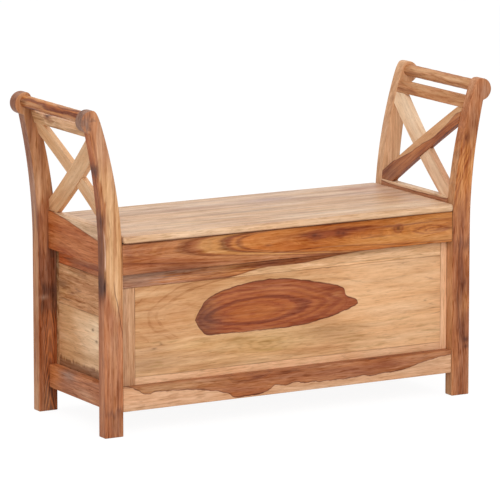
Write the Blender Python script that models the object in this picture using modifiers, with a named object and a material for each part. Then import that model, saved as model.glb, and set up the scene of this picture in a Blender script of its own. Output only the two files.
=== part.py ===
"""Entry bench: a storage chest under a hinged lid, between two low arms with crossed laths.

Metres, +Z up. +X runs along the bench and -Y is its front. The origin is on the floor under the middle
of the bench. Joints between fixed pieces keep the small gap called FIT.
"""

from math import cos, hypot, radians, sin

import bmesh
import bpy
import numpy as np
from mathutils import Matrix, Vector
from mathutils.geometry import interpolate_bezier

# The whole bench
HEIGHT = 0.720
FOOT_LENGTH = 0.930
DEPTH = 0.342
FIT = 0.0003

# Posts: upright at first, then bowed outwards to a scroll that leans into the inner edge
POST_WIDTH = 0.0455
POST_DEPTH = 0.029
OUTER_BOW_START = 0.380
INNER_BOW_START = 0.370
SCROLL_RADIUS = 0.025
SCROLL_REACH = 0.053
SHOULDER_DROP = 0.012
NECK_ANGLE = radians(-80)
CROWN_ANGLE = radians(105)
POST_ARRIS = 0.004
BOW_POINTS = 12
SCROLL_POINTS = 18
SHOULDER_POINTS = 7
SHOULDER_FULLNESS = 0.44
CROWN_FULLNESS = 0.17

# Arms: a round rail, a flat rail and two crossed laths at each end
ROUND_RAIL_RADIUS = 0.0135
ROUND_RAIL_LIFT = 0.005
ROUND_RAIL_SIDES = 24
FLAT_RAIL_HEIGHT = 0.026
FLAT_RAIL_THICKNESS = 0.014
FLAT_RAIL_DROP = 0.017
LATH_WIDTH = 0.040
LATH_THICKNESS = 0.012
LATH_INSET = 0.0015
LATH_STEP = 0.0025
LATH_BENDS = 12
LOW_LATH_TOP_DROP = 0.012
LOW_LATH_FOOT_DROP = 0.006

# Rails of the chest
FACE_SETBACK = 0.002
FRONT_RAIL_THICKNESS = 0.0235
SIDE_RAIL_THICKNESS = 0.021
APRON_HEIGHT = 0.0697
SEAT_RAIL_HEIGHT = 0.085
SEAT_RAIL_RISE = 0.012
LOWER_RAIL_HEIGHT = 0.0525
LOWER_RAIL_CLEARANCE = 0.0535
RAIL_ARRIS = 0.002

# Panels, fixed behind the rails
PANEL_THICKNESS = 0.012
PANEL_LAP = 0.020
TOP_STRIP_SHOWS = 0.0337
BOTTOM_STRIP_SHOWS = 0.016
LEFT_STILE_WIDTH = 0.042
RIGHT_STILE_WIDTH = 0.016
SIDE_STRIP_SHOWS = 0.033
SIDE_UPPER_BOARD = 0.089
BOARD_ARRIS = 0.0006

# Floor of the chest
FLOOR_THICKNESS = 0.009
CLEAT_SIZE = 0.015
CLEAT_END_GAP = 0.030

# Lid
LID_UNDERSIDE = 0.4245
LID_THICKNESS = 0.016
LID_END_CLEARANCE = 0.0015
LID_OVERHANG = 0.0059
LID_CORNER = 0.008
LID_CORNER_STEPS = 4
LID_ARRIS = 0.004
BATTEN_WIDTH = 0.035
BATTEN_THICKNESS = 0.015
BATTEN_END_GAP = 0.015
BATTEN_INSET = 0.128

# Butt hinges on the back of the chest
HINGE_INSET = 0.149
HINGE_LENGTH = 0.060
BARREL_RADIUS = 0.0038
BARREL_SIDES = 20
PIN_RADIUS = 0.0016
PIN_SIDES = 16
PIN_CLEARANCE = 0.00008
LEAF_THICKNESS = 0.0015
KNUCKLE_GAP = 0.0004
FIXED_LEAF_DROP = 0.028
MOVING_LEAF_MARGIN = 0.0015
SCREW_SPREAD = 0.020
SCREW_HEAD_RADIUS = 0.0028
SCREW_HEAD_TOP_RADIUS = 0.0022
SCREW_HEAD_THICKNESS = 0.0007
SCREW_SHANK_RADIUS = 0.0015
SCREW_LENGTH = 0.012
SCREW_SIDES = 12

# Places that several pieces share
POST_OUTER_X = FOOT_LENGTH / 2
POST_INNER_X = POST_OUTER_X - POST_WIDTH
POST_FACE_Y = DEPTH / 2
POST_INNER_Y = POST_FACE_Y - POST_DEPTH
SCROLL_X = POST_OUTER_X + SCROLL_REACH - SCROLL_RADIUS
SCROLL_Z = HEIGHT - SCROLL_RADIUS
SHOULDER = (SCROLL_X - SCROLL_RADIUS, SCROLL_Z - SHOULDER_DROP)
RAIL_END_Y = POST_INNER_Y - FIT
RAIL_END_X = POST_INNER_X - FIT
RAIL_FACE_Y = POST_FACE_Y - FACE_SETBACK
RAIL_BACK_Y = RAIL_FACE_Y - FRONT_RAIL_THICKNESS
PANEL_FACE_Y = RAIL_BACK_Y - FIT
PANEL_BACK_Y = PANEL_FACE_Y - PANEL_THICKNESS
SIDE_PANEL_BACK_X = RAIL_END_X - PANEL_THICKNESS
APRON_TOP = LID_UNDERSIDE - FIT
APRON_BOTTOM = APRON_TOP - APRON_HEIGHT
LID_TOP = LID_UNDERSIDE + LID_THICKNESS
SEAT_RAIL_TOP = LID_TOP + SEAT_RAIL_RISE
SEAT_RAIL_BOTTOM = SEAT_RAIL_TOP - SEAT_RAIL_HEIGHT
LOWER_RAIL_TOP = LOWER_RAIL_CLEARANCE + LOWER_RAIL_HEIGHT
PANEL_BOTTOM = LOWER_RAIL_TOP - 2 * PANEL_LAP
ROUND_RAIL_Z = SCROLL_Z + ROUND_RAIL_LIFT
FLAT_RAIL_TOP = SCROLL_Z - FLAT_RAIL_DROP
FLAT_RAIL_BOTTOM = FLAT_RAIL_TOP - FLAT_RAIL_HEIGHT
LEAF_BACK_Y = RAIL_FACE_Y + FIT
LEAF_FACE_Y = LEAF_BACK_Y + LEAF_THICKNESS
HINGE_Y = LEAF_BACK_Y + BARREL_RADIUS
HINGE_Z = (APRON_TOP + LID_UNDERSIDE) / 2
SIDES = (("left", -1), ("right", 1))

# Colours of the woods, from pale sapwood to purple-brown heartwood, and of the brass
HONEY = (0.56, 0.27, 0.085)
PALE = (0.66, 0.42, 0.22)
AMBER = (0.43, 0.14, 0.03)
RUSSET = (0.24, 0.062, 0.018)
UMBER = (0.20, 0.065, 0.03)
BRASS = (0.55, 0.38, 0.15)
WOOD_ROUGHNESS = 0.42
BRASS_ROUGHNESS = 0.35


def clear_scene():
    for obj in list(bpy.data.objects):
        bpy.data.objects.remove(obj, do_unlink=True)


def new_collection(name):
    collection = bpy.data.collections.new(name)
    bpy.context.scene.collection.children.link(collection)
    return collection


def finish(obj, colour, roughness=WOOD_ROUGHNESS, metallic=0):
    """Gives the object a material of its own."""
    material = bpy.data.materials.new(obj.name)
    material.use_nodes = True
    shader = material.node_tree.nodes["Principled BSDF"]
    shader.inputs["Base Color"].default_value = (*colour, 1)
    shader.inputs["Roughness"].default_value = roughness
    shader.inputs["Metallic"].default_value = metallic
    material.diffuse_color = (*colour, 1)
    obj.data.materials.clear()
    obj.data.materials.append(material)


def finish_brass(obj):
    finish(obj, BRASS, BRASS_ROUGHNESS, metallic=1)


def add_mesh(name, bm, collection):
    """Stores the bmesh as a new object in the collection."""
    bm.normal_update()
    bmesh.ops.recalc_face_normals(bm, faces=bm.faces)
    mesh = bpy.data.meshes.new(name)
    bm.to_mesh(mesh)
    bm.free()
    obj = bpy.data.objects.new(name, mesh)
    collection.objects.link(obj)
    return obj


def add_box(name, low, high, collection):
    """A box between two corners, with its origin at its middle."""
    low, high = Vector(low), Vector(high)
    bm = bmesh.new()
    bmesh.ops.create_cube(bm, size=1, matrix=Matrix.Diagonal((*(high - low), 1)))
    obj = add_mesh(name, bm, collection)
    obj.location = (low + high) / 2
    return obj


def add_cylinder(name, start, end, radius, segments, collection):
    """A cylinder between two points, with its origin halfway."""
    along = Vector(end) - Vector(start)
    bm = bmesh.new()
    bmesh.ops.create_cone(bm, cap_ends=True, segments=segments, radius1=radius, radius2=radius,
                          depth=along.length)
    obj = add_mesh(name, bm, collection)
    obj.location = (Vector(start) + Vector(end)) / 2
    obj.rotation_euler = Vector((0, 0, 1)).rotation_difference(along).to_euler()
    return obj


def round_arrises(obj, width, segments=1):
    bevel = obj.modifiers.new("Arrises", "BEVEL")
    bevel.width = width
    bevel.segments = segments
    bevel.limit_method = "ANGLE"
    bevel.angle_limit = radians(35)


def cut(obj, cutter, operation="DIFFERENCE"):
    boolean = obj.modifiers.new(cutter.name, "BOOLEAN")
    boolean.operation = operation
    boolean.solver = "EXACT"
    boolean.object = cutter
    cutter.hide_render = True
    cutter.display_type = "WIRE"


def board(name, low, high, colour, arris=RAIL_ARRIS):
    """A straight piece of wood between two corners, with its arrises taken off."""
    obj = add_box(name, low, high, parts)
    round_arrises(obj, arris)
    finish(obj, colour)
    return obj


def smooth(obj, angle=radians(40)):
    obj.data.shade_smooth()
    obj.data.set_sharp_from_angle(angle=angle)


# Posts

def bezier(start, start_handle, end_handle, end, count):
    """Points of one Bezier curve in the XZ plane, as (x, z)."""
    corners = [Vector((*point, 0)) for point in (start, start_handle, end_handle, end)]
    return [(point.x, point.y) for point in interpolate_bezier(*corners, count)]


def bowed_edge(start, end):
    """A parabola that starts upright."""
    sweep, rise = end[0] - start[0], end[1] - start[1]
    return bezier(start, (start[0], start[1] + rise / 3),
                  (start[0] + sweep / 3, start[1] + rise * 2 / 3), end, BOW_POINTS)


def scroll_point(angle):
    return SCROLL_X + SCROLL_RADIUS * cos(angle), SCROLL_Z + SCROLL_RADIUS * sin(angle)


def inner_edge():
    return bowed_edge((POST_INNER_X, INNER_BOW_START), SHOULDER)


def shoulder():
    """The turn from the leaning inner edge into the top of the scroll."""
    sweep, rise = SHOULDER[0] - POST_INNER_X, SHOULDER[1] - INNER_BOW_START
    lean = Vector((2 * sweep, rise)).normalized()
    crown = Vector(scroll_point(CROWN_ANGLE))
    along_scroll = Vector((-sin(CROWN_ANGLE), cos(CROWN_ANGLE)))
    chord = (crown - Vector(SHOULDER)).length
    return bezier(SHOULDER, Vector(SHOULDER) + lean * chord * SHOULDER_FULLNESS,
                  crown + along_scroll * chord * CROWN_FULLNESS, crown, SHOULDER_POINTS)


def inner_x(z):
    """Distance of the posts' inner edge from the middle of the bench, at this height."""
    edge = np.array([(POST_INNER_X, 0), *inner_edge()])
    return float(np.interp(z, edge[:, 1], edge[:, 0]))


def post_outline():
    outer = bowed_edge((POST_OUTER_X, OUTER_BOW_START), scroll_point(NECK_ANGLE))
    scroll = [scroll_point(angle) for angle in np.linspace(NECK_ANGLE, CROWN_ANGLE, SCROLL_POINTS)[1:-1]]
    return [(POST_INNER_X, 0), (POST_OUTER_X, 0), *outer, *scroll, *reversed(shoulder()),
            *reversed(inner_edge()[:-1])]


def post(name, side, middle_y, colour):
    """One post, cut from a plank: its outline in XZ, extruded through POST_DEPTH."""
    curve = bpy.data.curves.new(name, "CURVE")
    curve.dimensions = "2D"
    curve.fill_mode = "BOTH"
    curve.extrude = POST_DEPTH / 2
    outline = post_outline()
    spline = curve.splines.new("POLY")
    spline.points.add(len(outline) - 1)
    for point, (x, z) in zip(spline.points, outline):
        point.co = (side * x, z, 0, 1)
    spline.use_cyclic_u = True
    obj = bpy.data.objects.new(name, curve)
    parts.objects.link(obj)
    obj.location.y = middle_y
    obj.rotation_euler.x = radians(90)
    weld = obj.modifiers.new("Weld caps", "WELD")
    weld.merge_threshold = 0.00001
    round_arrises(obj, POST_ARRIS, segments=2)
    finish(obj, colour)


def build_posts():
    middle_y = POST_FACE_Y - POST_DEPTH / 2
    for side_name, side, front_colour, back_colour in (("left", -1, HONEY, UMBER),
                                                       ("right", 1, RUSSET, PALE)):
        post(f"post_front_{side_name}", side, -middle_y, front_colour)
        post(f"post_back_{side_name}", side, middle_y, back_colour)


# Arms

def bent_bmesh(outline, near, far, side):
    """A flat piece seen along X, given as (y, z) points, bent to follow the posts' inner edge.

    near and far are how far its two faces lie outside that edge.
    """
    bm = bmesh.new()
    face = bm.faces.new([bm.verts.new((near, y, z)) for y, z in outline])
    sweep = bmesh.ops.extrude_face_region(bm, geom=[face])
    moved = [item for item in sweep["geom"] if isinstance(item, bmesh.types.BMVert)]
    bmesh.ops.translate(bm, verts=moved, vec=(far - near, 0, 0))
    heights = [z for _, z in outline]
    for level in np.linspace(min(heights), max(heights), LATH_BENDS + 1)[1:-1]:
        bmesh.ops.bisect_plane(bm, geom=[*bm.verts, *bm.edges, *bm.faces], dist=1e-7,
                               plane_co=(0, 0, level), plane_no=(0, 0, 1))
    for vert in bm.verts:
        vert.co.x = side * (vert.co.x + inner_x(vert.co.z))
    return bm


def lath_outline(rises_to, top_drop, foot_drop, extra=0.0):
    """A band of LATH_WIDTH across the opening between rails and posts, cut to the opening, as (y, z) points.

    rises_to is the Y sign of its upper end. Its middle line runs from corner to corner of the opening, less
    the two drops. extra widens the band, for the notch in the lath that it crosses.
    """
    low, high = SEAT_RAIL_TOP + FIT, FLAT_RAIL_BOTTOM - FIT
    foot_z, head_z = low - foot_drop, high - top_drop
    slope = (head_z - foot_z) / (2 * RAIL_END_Y)
    middle_z = (head_z + foot_z) / 2
    half = (LATH_WIDTH / 2 + extra) * hypot(1, slope)
    outline = [(-RAIL_END_Y, low), ((low - middle_z + half) / slope, low), (RAIL_END_Y, head_z - half),
               (RAIL_END_Y, high), ((high - middle_z - half) / slope, high), (-RAIL_END_Y, foot_z + half)]
    return [(rises_to * y, z) for y, z in outline]


def lath_pair(side_name, side, drops, colours):
    """Two crossed laths, half-lapped where they meet. The inner one stands proud by LATH_STEP.

    One arm is the other turned half round, so its inner lath rises to the other side.
    """
    near = {"inner": -LATH_INSET, "outer": -LATH_INSET + LATH_STEP}
    rises_to = {"inner": -side, "outer": side}
    meet = (near["outer"] + near["inner"] + LATH_THICKNESS) / 2
    beyond = {"inner": (meet - FIT / 2, near["outer"] + 2 * LATH_THICKNESS),
              "outer": (near["inner"] - LATH_THICKNESS, meet + FIT / 2)}
    for which, other in (("inner", "outer"), ("outer", "inner")):
        name = f"lath_{which}_{side_name}"
        outline = lath_outline(rises_to[which], *drops[which])
        obj = add_mesh(name, bent_bmesh(outline, near[which], near[which] + LATH_THICKNESS, side), parts)
        crossing = lath_outline(rises_to[other], *drops[other], extra=FIT)
        notch = add_mesh(name + "_notch", bent_bmesh(crossing, *beyond[which], side), cutters)
        cut(obj, notch)
        finish(obj, colours[which])


def build_arms():
    for side_name, side in SIDES:
        inner_drops = (LOW_LATH_TOP_DROP, LOW_LATH_FOOT_DROP) if side > 0 else (0, 0)
        inner_colour, outer_colour = (RUSSET, PALE) if side > 0 else (HONEY, HONEY)
        lath_pair(side_name, side, {"inner": inner_drops, "outer": (0, 0)},
                  {"inner": inner_colour, "outer": outer_colour})

        outline = [(-RAIL_END_Y, FLAT_RAIL_BOTTOM), (RAIL_END_Y, FLAT_RAIL_BOTTOM),
                   (RAIL_END_Y, FLAT_RAIL_TOP), (-RAIL_END_Y, FLAT_RAIL_TOP)]
        flat = add_mesh(f"flat_rail_{side_name}", bent_bmesh(outline, 0, FLAT_RAIL_THICKNESS, side), parts)
        finish(flat, AMBER if side > 0 else HONEY)

        ends = [(side * SCROLL_X, y, ROUND_RAIL_Z) for y in (-RAIL_END_Y, RAIL_END_Y)]
        rail = add_cylinder(f"round_rail_{side_name}", *ends, ROUND_RAIL_RADIUS, ROUND_RAIL_SIDES, parts)
        smooth(rail)
        finish(rail, PALE if side > 0 else AMBER)


# Chest

def build_rails():
    for name, y_sign, colours in (("front", -1, (AMBER, RUSSET)), ("back", 1, (HONEY, HONEY))):
        faces = sorted((y_sign * RAIL_FACE_Y, y_sign * RAIL_BACK_Y))
        board(f"apron_{name}", (-RAIL_END_X, faces[0], APRON_BOTTOM), (RAIL_END_X, faces[1], APRON_TOP),
              colours[0])
        board(f"lower_rail_{name}", (-RAIL_END_X, faces[0], LOWER_RAIL_CLEARANCE),
              (RAIL_END_X, faces[1], LOWER_RAIL_TOP), colours[1])
    for name, side in SIDES:
        faces = sorted((side * POST_INNER_X, side * (POST_INNER_X + SIDE_RAIL_THICKNESS)))
        for rail, bottom, top in (("seat_rail", SEAT_RAIL_BOTTOM, SEAT_RAIL_TOP),
                                  ("lower_rail", LOWER_RAIL_CLEARANCE, LOWER_RAIL_TOP)):
            board(f"{rail}_{name}", (faces[0], -RAIL_END_Y, bottom), (faces[1], RAIL_END_Y, top), RUSSET)


def build_front_panel():
    """The front: a board framed by two strips and two stiles, all in one plane."""
    front, back = -PANEL_FACE_Y, -PANEL_BACK_Y
    top, bottom = APRON_BOTTOM + PANEL_LAP, PANEL_BOTTOM
    strip_top = APRON_BOTTOM - TOP_STRIP_SHOWS
    strip_bottom = LOWER_RAIL_TOP + BOTTOM_STRIP_SHOWS
    left, right = -RAIL_END_X + LEFT_STILE_WIDTH, RAIL_END_X - RIGHT_STILE_WIDTH
    for name, low_x, high_x, low_z, high_z, colour in (
            ("front_right_stile", right + FIT, RAIL_END_X, bottom, top, PALE),
            ("front_top_strip", -RAIL_END_X, right, strip_top + FIT, top, AMBER),
            ("front_left_stile", -RAIL_END_X, left, bottom, strip_top, PALE),
            ("front_bottom_strip", left + FIT, right, bottom, strip_bottom - FIT, PALE),
            ("front_board", left + FIT, right, strip_bottom, strip_top, HONEY)):
        board(name, (low_x, front, low_z), (high_x, back, high_z), colour, BOARD_ARRIS)


def build_other_panels():
    board("back_board", (-RAIL_END_X, PANEL_BACK_Y, PANEL_BOTTOM),
          (RAIL_END_X, PANEL_FACE_Y, APRON_BOTTOM + PANEL_LAP), HONEY, BOARD_ARRIS)
    strip_bottom = SEAT_RAIL_BOTTOM - SIDE_STRIP_SHOWS
    joint = strip_bottom - SIDE_UPPER_BOARD
    end_y = PANEL_BACK_Y - FIT
    for side_name, side in SIDES:
        faces = sorted((side * RAIL_END_X, side * SIDE_PANEL_BACK_X))
        for name, low_z, high_z, colour in (
                ("side_top_strip", strip_bottom + FIT, SEAT_RAIL_BOTTOM + PANEL_LAP, RUSSET),
                ("side_upper_board", joint + FIT, strip_bottom, HONEY),
                ("side_lower_board", PANEL_BOTTOM, joint, PALE)):
            board(f"{name}_{side_name}", (faces[0], -end_y, low_z), (faces[1], end_y, high_z), colour,
                  BOARD_ARRIS)


def build_floor():
    end_x = SIDE_PANEL_BACK_X - FIT
    end_y = PANEL_BACK_Y - FIT
    cleat_top = PANEL_BOTTOM + CLEAT_SIZE
    for name, y_sign in (("front", -1), ("back", 1)):
        faces = sorted((y_sign * end_y, y_sign * (end_y - CLEAT_SIZE)))
        board(f"floor_cleat_{name}", (-end_x + CLEAT_END_GAP, faces[0], PANEL_BOTTOM),
              (end_x - CLEAT_END_GAP, faces[1], cleat_top), HONEY, BOARD_ARRIS)
    board("floor_board", (-end_x, -end_y, cleat_top + FIT), (end_x, end_y, cleat_top + FIT + FLOOR_THICKNESS),
          PALE, BOARD_ARRIS)


# Lid and hinges

def hang_on_hinges(obj, lid_axis):
    """Makes the object swing with the lid about the hinge pins."""
    obj.parent = lid_axis
    obj.matrix_parent_inverse = Matrix.Translation(-lid_axis.location)


def build_lid(lid_axis):
    end_x = POST_INNER_X - LID_END_CLEARANCE
    front, back = -POST_FACE_Y - LID_OVERHANG, RAIL_FACE_Y
    bm = bmesh.new()
    size = Vector((2 * end_x, back - front, LID_THICKNESS))
    bmesh.ops.create_cube(bm, size=1, matrix=Matrix.Diagonal((*size, 1)))
    corners = [edge for edge in bm.edges if abs(edge.verts[0].co.z - edge.verts[1].co.z) > LID_THICKNESS / 2]
    bmesh.ops.bevel(bm, geom=corners, offset=LID_CORNER, segments=LID_CORNER_STEPS, profile=0.5,
                    affect="EDGES")
    lid = add_mesh("lid", bm, parts)
    lid.location = (0, (front + back) / 2, LID_UNDERSIDE + LID_THICKNESS / 2)
    round_arrises(lid, LID_ARRIS, segments=2)
    finish(lid, PALE)
    hang_on_hinges(lid, lid_axis)
    end_y = PANEL_BACK_Y - BATTEN_END_GAP
    for side_name, side in SIDES:
        middle_x = side * (end_x - BATTEN_INSET)
        batten = board(f"lid_batten_{side_name}",
                       (middle_x - BATTEN_WIDTH / 2, -end_y, LID_UNDERSIDE - FIT - BATTEN_THICKNESS),
                       (middle_x + BATTEN_WIDTH / 2, end_y, LID_UNDERSIDE - FIT), HONEY)
        hang_on_hinges(batten, lid_axis)
    return lid


def leaf(name, x, away, near, far, knuckles):
    """A hinge leaf: a plate from near to far of the hinge's axis, with knuckles, bored for the pin.

    away is the way it lies from the axis, 1 for up and -1 for down. knuckles lists (from, to) along X.
    """
    def slab(slab_name, start, end, low, high, collection):
        heights = sorted((HINGE_Z + away * low, HINGE_Z + away * high))
        return add_box(slab_name, (x + start, LEAF_BACK_Y, heights[0]), (x + end, LEAF_FACE_Y, heights[1]),
                       collection)

    half = HINGE_LENGTH / 2
    obj = slab(name, -half, half, near, far, parts)
    for number, (start, end) in enumerate(knuckles):
        cut(obj, slab(f"{name}_tab_{number}", start, end, 0, near + LEAF_THICKNESS, cutters), "UNION")
        knuckle = add_cylinder(f"{name}_knuckle_{number}", (x + start, HINGE_Y, HINGE_Z),
                               (x + end, HINGE_Y, HINGE_Z), BARREL_RADIUS, BARREL_SIDES, cutters)
        cut(obj, knuckle, "UNION")
    bore = add_cylinder(f"{name}_bore", (x - HINGE_LENGTH, HINGE_Y, HINGE_Z),
                        (x + HINGE_LENGTH, HINGE_Y, HINGE_Z), PIN_RADIUS + PIN_CLEARANCE, PIN_SIDES,
                        cutters)
    cut(obj, bore)
    finish_brass(obj)
    return obj


def screw(name, x, z, leaf_obj, wood):
    """A flat-headed screw through the leaf into the wood, with the holes that it needs."""
    shank = SCREW_LENGTH + FIT
    profile = [(0, SCREW_HEAD_THICKNESS), (SCREW_HEAD_TOP_RADIUS, SCREW_HEAD_THICKNESS),
               (SCREW_HEAD_RADIUS, 0), (SCREW_SHANK_RADIUS, 0), (SCREW_SHANK_RADIUS, -shank), (0, -shank)]
    mesh = bpy.data.meshes.new(name)
    mesh.from_pydata([(radius, 0, height) for radius, height in profile],
                     [(number, number + 1) for number in range(len(profile) - 1)], [])
    obj = bpy.data.objects.new(name, mesh)
    parts.objects.link(obj)
    turned = obj.modifiers.new("Turned", "SCREW")
    turned.steps = SCREW_SIDES
    turned.render_steps = SCREW_SIDES
    turned.use_merge_vertices = True
    turned.merge_threshold = 0.00001
    obj.location = (x, LEAF_FACE_Y + FIT, z)
    obj.rotation_euler.x = radians(-90)
    finish_brass(obj)
    hole = add_cylinder(name + "_hole", (x, LEAF_FACE_Y + SCREW_HEAD_RADIUS, z),
                        (x, LEAF_FACE_Y - SCREW_LENGTH - FIT, z), SCREW_SHANK_RADIUS + FIT, SCREW_SIDES,
                        cutters)
    cut(leaf_obj, hole)
    cut(wood, hole)
    return obj


def build_hinges(lid, lid_axis):
    reach = HINGE_LENGTH / 2
    third = HINGE_LENGTH / 6
    inner_end, outer_start = third - KNUCKLE_GAP / 2, third + KNUCKLE_GAP / 2
    near = BARREL_RADIUS + KNUCKLE_GAP
    moving_far = LID_TOP - MOVING_LEAF_MARGIN - LID_ARRIS - HINGE_Z
    apron = bpy.data.objects["apron_back"]
    for side_name, side in SIDES:
        x = side * (RAIL_END_X - HINGE_INSET)
        name = f"hinge_{side_name}"
        fixed = leaf(f"{name}_fixed_leaf", x, -1, near, FIXED_LEAF_DROP,
                     [(-reach, -outer_start), (outer_start, reach)])
        moving = leaf(f"{name}_moving_leaf", x, 1, near, moving_far, [(-inner_end, inner_end)])
        hang_on_hinges(moving, lid_axis)
        pin = add_cylinder(f"{name}_pin", (x - reach, HINGE_Y, HINGE_Z), (x + reach, HINGE_Y, HINGE_Z),
                           PIN_RADIUS, PIN_SIDES, parts)
        smooth(pin)
        finish_brass(pin)
        for number, offset in enumerate((-SCREW_SPREAD, SCREW_SPREAD), start=1):
            screw(f"{name}_fixed_screw_{number}", x + offset, HINGE_Z - (FIXED_LEAF_DROP + near) / 2,
                  fixed, apron)
            lid_screw = screw(f"{name}_moving_screw_{number}", x + offset, HINGE_Z + (moving_far + near) / 2,
                              moving, lid)
            hang_on_hinges(lid_screw, lid_axis)


def build_top():
    lid_axis = bpy.data.objects.new("lid_axis", None)
    parts.objects.link(lid_axis)
    lid_axis.location = (0, HINGE_Y, HINGE_Z)
    build_hinges(build_lid(lid_axis), lid_axis)


clear_scene()
parts = new_collection("entry_bench")
cutters = new_collection("cutters")
build_posts()
build_arms()
build_rails()
build_front_panel()
build_other_panels()
build_floor()
build_top()
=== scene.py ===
"""An entry bench of lacquered natural wood: a chest under a hinged lid, between two low bowed arms."""

from functools import reduce
from math import atan, cos, hypot, radians, sin

import bmesh
import bpy
from mathutils import Matrix, Vector


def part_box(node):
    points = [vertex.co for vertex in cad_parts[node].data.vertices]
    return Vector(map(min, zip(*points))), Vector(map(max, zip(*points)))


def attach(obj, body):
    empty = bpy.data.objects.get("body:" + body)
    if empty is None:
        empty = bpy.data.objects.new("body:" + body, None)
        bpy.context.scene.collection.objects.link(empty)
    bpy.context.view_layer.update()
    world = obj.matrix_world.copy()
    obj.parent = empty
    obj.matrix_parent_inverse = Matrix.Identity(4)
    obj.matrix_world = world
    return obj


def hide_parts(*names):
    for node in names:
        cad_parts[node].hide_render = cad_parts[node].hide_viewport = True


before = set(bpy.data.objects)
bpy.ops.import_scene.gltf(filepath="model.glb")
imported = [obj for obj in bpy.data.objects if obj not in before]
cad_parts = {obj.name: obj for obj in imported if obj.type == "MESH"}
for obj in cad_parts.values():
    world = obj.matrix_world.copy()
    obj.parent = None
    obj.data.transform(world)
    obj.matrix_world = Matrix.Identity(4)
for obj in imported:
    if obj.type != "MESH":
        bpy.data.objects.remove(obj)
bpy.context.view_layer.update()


# The bench stands in a white studio. A long lens looks slightly down at its left front corner.
# The floor is pale and keeps the bench's soft shadow, and the light is even from all round.

PHOTO_SIDE = 500
LENS_IN_PIXELS = 4433.7713
LENS_MIDDLE = (253.0012, 243.997)
SENSOR = 36
TURNED, RAISED = radians(-29.6119), radians(10.3766)
CAMERA_DISTANCE = 9.9002
LOOKED_AT = Vector((0, 0, 0.36))

view_from = Vector((sin(TURNED) * cos(RAISED), -cos(TURNED) * cos(RAISED), sin(RAISED)))
camera_data = bpy.data.cameras.new("studio_camera")
camera_data.sensor_width = SENSOR
camera_data.lens = LENS_IN_PIXELS / PHOTO_SIDE * SENSOR
camera_data.shift_x = (PHOTO_SIDE / 2 - LENS_MIDDLE[0]) / PHOTO_SIDE
camera_data.shift_y = (LENS_MIDDLE[1] - PHOTO_SIDE / 2) / PHOTO_SIDE
camera_data.clip_end = 100
camera = bpy.data.objects.new("studio_camera", camera_data)
camera.location = LOOKED_AT + view_from * CAMERA_DISTANCE
camera.rotation_euler = view_from.to_track_quat("Z", "Y").to_euler()
bpy.context.collection.objects.link(camera)
bpy.context.scene.camera = camera
bpy.context.scene.view_settings.view_transform = "Standard"


class Tree:
    """Short calls for building one node tree."""

    def __init__(self, tree):
        self.tree = tree

    def node(self, kind, *values, named=None, **settings):
        """Adds a node and fills its inputs, in their order or by name, from sockets or plain values."""
        node = self.tree.nodes.new(kind)
        for name, value in settings.items():
            setattr(node, name, value)
        for socket, value in zip(node.inputs, values):
            self.fill(socket, value)
        for name, value in (named or {}).items():
            self.fill(node.inputs[name], value)
        return node

    def fill(self, socket, value):
        if isinstance(value, bpy.types.NodeSocket):
            self.tree.links.new(value, socket)
        elif value is not None:
            socket.default_value = value

    def math(self, operation, *values, clamp=False):
        return self.node("ShaderNodeMath", *values, operation=operation, use_clamp=clamp).outputs[0]

    def add(self, *terms):
        return reduce(lambda total, term: self.math("ADD", total, term), terms)

    def times(self, *terms):
        return reduce(lambda total, term: self.math("MULTIPLY", total, term), terms)

    def minus(self, value, amount):
        return self.math("SUBTRACT", value, amount)

    def vector(self, operation, *values):
        node = self.node("ShaderNodeVectorMath", *values, operation=operation)
        return node.outputs[1 if operation == "LENGTH" else 0]

    def combine(self, x, y, z):
        return self.node("ShaderNodeCombineXYZ", x, y, z).outputs[0]

    def mix(self, factor, first, second):
        node = self.node("ShaderNodeMix", data_type="RGBA")
        for number, value in ((0, factor), (6, first), (7, second)):
            self.fill(node.inputs[number], value)
        return node.outputs[2]


def new_material(name):
    """A material with an empty tree of nodes, and its surface output."""
    material = bpy.data.materials.new(name)
    material.use_nodes = True
    material.node_tree.nodes.clear()
    tree = Tree(material.node_tree)
    return material, tree, tree.node("ShaderNodeOutputMaterial").inputs["Surface"]


def seen_directly(tree):
    """1 for what the camera sees, also in a mirror or through glass, and 0 for light falling on things."""
    path = tree.node("ShaderNodeLightPath")
    seen = tree.add(path.outputs["Is Camera Ray"], path.outputs["Is Glossy Ray"])
    return tree.math("ADD", seen, path.outputs["Is Transmission Ray"], clamp=True)


WHITE = (1, 1, 1, 1)
world = bpy.data.worlds.new("studio")
world.use_nodes = True
world.node_tree.nodes.clear()
studio = Tree(world.node_tree)
room_light = studio.node("ShaderNodeBackground", WHITE, 0.62).outputs[0]
white_wall = studio.node("ShaderNodeBackground", WHITE, 1.0).outputs[0]
studio_light = studio.node("ShaderNodeMixShader", seen_directly(studio), room_light, white_wall)
studio.node("ShaderNodeOutputWorld", studio_light.outputs[0])
bpy.context.scene.world = world

floor_material, paper, paper_surface = new_material("studio_floor")
in_shadow = paper.node("ShaderNodeBsdfDiffuse", (0.15, 0.15, 0.15, 1)).outputs[0]
glow = paper.node("ShaderNodeEmission", WHITE, 0.92).outputs[0]
floor_seen = paper.node("ShaderNodeAddShader", in_shadow, glow).outputs[0]
floor_lit = paper.node("ShaderNodeBsdfDiffuse", (0.8, 0.8, 0.8, 1)).outputs[0]
floor_shader = paper.node("ShaderNodeMixShader", seen_directly(paper), floor_lit, floor_seen)
paper.fill(paper_surface, floor_shader.outputs[0])
bpy.ops.mesh.primitive_plane_add(size=24, location=(0, 0, -0.0005))
floor = bpy.context.object
floor.name = "studio_floor"
floor.data.materials.append(floor_material)

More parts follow.
